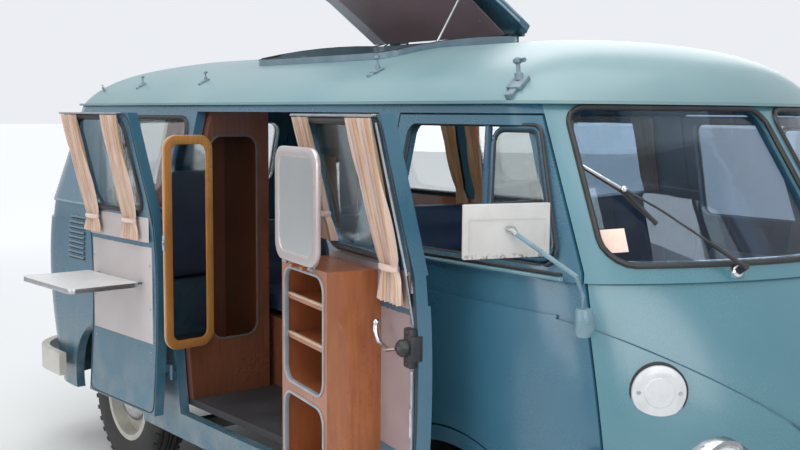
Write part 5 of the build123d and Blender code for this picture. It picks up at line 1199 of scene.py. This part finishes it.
# Kitchen cupboards
# Plywood units down the left side with flush doors, round pulls and a pale worktop edged in metal.
piece(slab((-2.004, 0.424, 0.931), (-0.514, 0.8, 0.946), 0.003), "worktop", laminate)
piece(slab((-2.004, 0.42, 0.929), (-0.512, 0.4245, 0.948), 0.001), "worktop_band", aluminium)
bm = bmesh.new()
for low_x, high_x in ((-1.54, -1.21), (-1.19, -0.86), (-0.84, -0.54)):
    slab((low_x, 0.418, 0.54), (high_x, 0.43, 0.9), 0.004, bm=bm)
piece(bm, "cupboard_doors", cabinet_wood)
PULL = ((0, 0.018), (0.012, 0.016), (0.014, 0.01), (0.006, 0.006), (0.006, -0.002))
bm = bmesh.new()
for x in (-1.25, -0.9, -0.58):
    turned(PULL, facing_to((x, 0.419, 0.86), RIGHT), 16, bm)
piece(bm, "cupboard_pulls", chrome)

# Lining of the left wall
# Varnished plywood boards between the worktop and the windows, fixed to the wall's ribs.
bm = bmesh.new()
for low_x, high_x in ((-2.3, -1.7), (-1.69, -1.1), (-1.09, -0.5)):
    slab((low_x, 0.798, 0.955), (high_x, 0.806, 1.262), 0.002, bm=bm)
piece(bm, "wall_lining_left", cabinet_wood)

# Tail: rear window, lids and lamps
# The rear window sits in rubber in the upper lid. Both lids have a bright turn handle in their middle; round
# red lamps stand on the corners, and a small lamp over the number plate's place.
tail_red = finish(
    "red lamp lens", (0.3, 0.012, 0.01), (0.2, 0.012, 0.01), 18, 300, 0.08, 0.2, 0.0004, Coat_Weight=0.7)
HANDLE_BASE = ((0, 0.02), (0.014, 0.018), (0.022, 0.004), (0.024, -0.003))
TAIL_LENS = ((0, 0.022), (0.02, 0.021), (0.036, 0.014), (0.041, 0.004), (0.041, -0.02), (0, -0.02))
TAIL_RING = ((0.04, 0.002), (0.042, 0.007), (0.048, 0.003), (0.048, -0.025), (0.04, -0.025), (0.04, 0.002))
rim = filled(rounded(1.06 + 0.014, 0.345 + 0.014, 0.06, 5), 0.12)
starts = [(BEHIND, y, 1.4575 + up) for y, up in rim]
path = traced(skin_of("tailgate", "glass_tailgate"), starts, AHEAD, 0.001)
piece(tube(path, 0.011, 8, True), "rear_window_rubber", rubber, "tailgate")
for lid, z in (("tailgate", 1.06), ("engine_lid", 0.64)):
    point, out = touched(skin_of(lid), (BEHIND, 0, z), AHEAD)
    bm = turned(HANDLE_BASE, facing_to(point, out), 24)
    ends = [point + out * 0.024 + Vector((0, y, 0)) for y in (-0.04, 0.04)]
    tube([ends[0], point + out * 0.028, ends[1]], 0.008, 10, False, 0.7, bm)
    piece(bm, f"{lid}_handle", chrome, lid)
for side, hand in SIDES:
    seat = facing_to((-3.19, side * 0.69, 0.84), toed(side, 24, -1))
    lens = piece(turned(TAIL_LENS, seat), f"tail_lens_{hand}", tail_red)
    if side > 0:
        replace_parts(lens, "tail_lamps")
    piece(turned(TAIL_RING, seat), f"tail_ring_{hand}", chrome)
point, _ = touched(skin_of("engine_lid"), (BEHIND, 0, 0.9), AHEAD)
lamp = slab((point.x - 0.02, -0.06, 0.885), (point.x + 0.004, 0.06, 0.912), 0.006)
piece(lamp, "plate_lamp", teal, "engine_lid")

# Cooling louvres
# Rows of pressed slots above the rear wheels let air to the engine. Each is a raised hood with a dark strip
# under it as painted shade in its gap.
# Near-black strips under the hoods: painted shade in the open gaps.
gap_shade_paint = finish("painted shade in louvre gap", (0.006, 0.007, 0.008), (0.015, 0.015, 0.016), 10, 200, 0.7, 0.9, 0.0001)
for side, hand, solid in ((-1, "right", "quarter_right"), (1, "left", "side_left")):
    skin = skin_of(solid)
    hoods, gap_shade_strips = bmesh.new(), bmesh.new()
    for row in range(9):
        z = 1.185 - row * 0.0235
        ends = traced(skin, [(x, side * BESIDE, z) for x in (-2.735, -2.65, -2.56)], (0, -side, 0))
        tube([end + Vector((0, side * 0.0005, 0)) for end in ends], 0.0068, bm=hoods)
        tube([end + Vector((0, side * 0.0005, -0.008)) for end in ends], 0.0034, 6, bm=gap_shade_strips)
    piece(hoods, f"louvre_hoods_{hand}", teal)
    piece(gap_shade_strips, f"louvre_gap_shades_{hand}", gap_shade_paint)

# Belt swage
# A thin worn swage runs along the belt to the tail, from behind the loading doors on the right and from the
# cab door on the left.
BELT_RUNS = (
    # side, name, start x, solids that it follows
    (-1, "right", -1.72, ("frame_right", "quarter_right")),
    (1, "left", -0.45, ("side_left",)),
)
for side, hand, start, solids in BELT_RUNS:
    starts = [(start + (-2.95 - start) * step / 24, side * BESIDE, 1.252) for step in range(25)]
    piece(tube(traced(skin_of(*solids), starts, (0, -side, 0)), 0.0055), f"belt_swage_{hand}", worn_teal)

# Sizes
# The boxes of the bare solids and of the dressed van are gathered in a dictionary, each as its low and high
# corner.
size = {"solids": [list(corner) for corner in box_of_solids]}
size["dressed"] = [list(corner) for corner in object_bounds()]
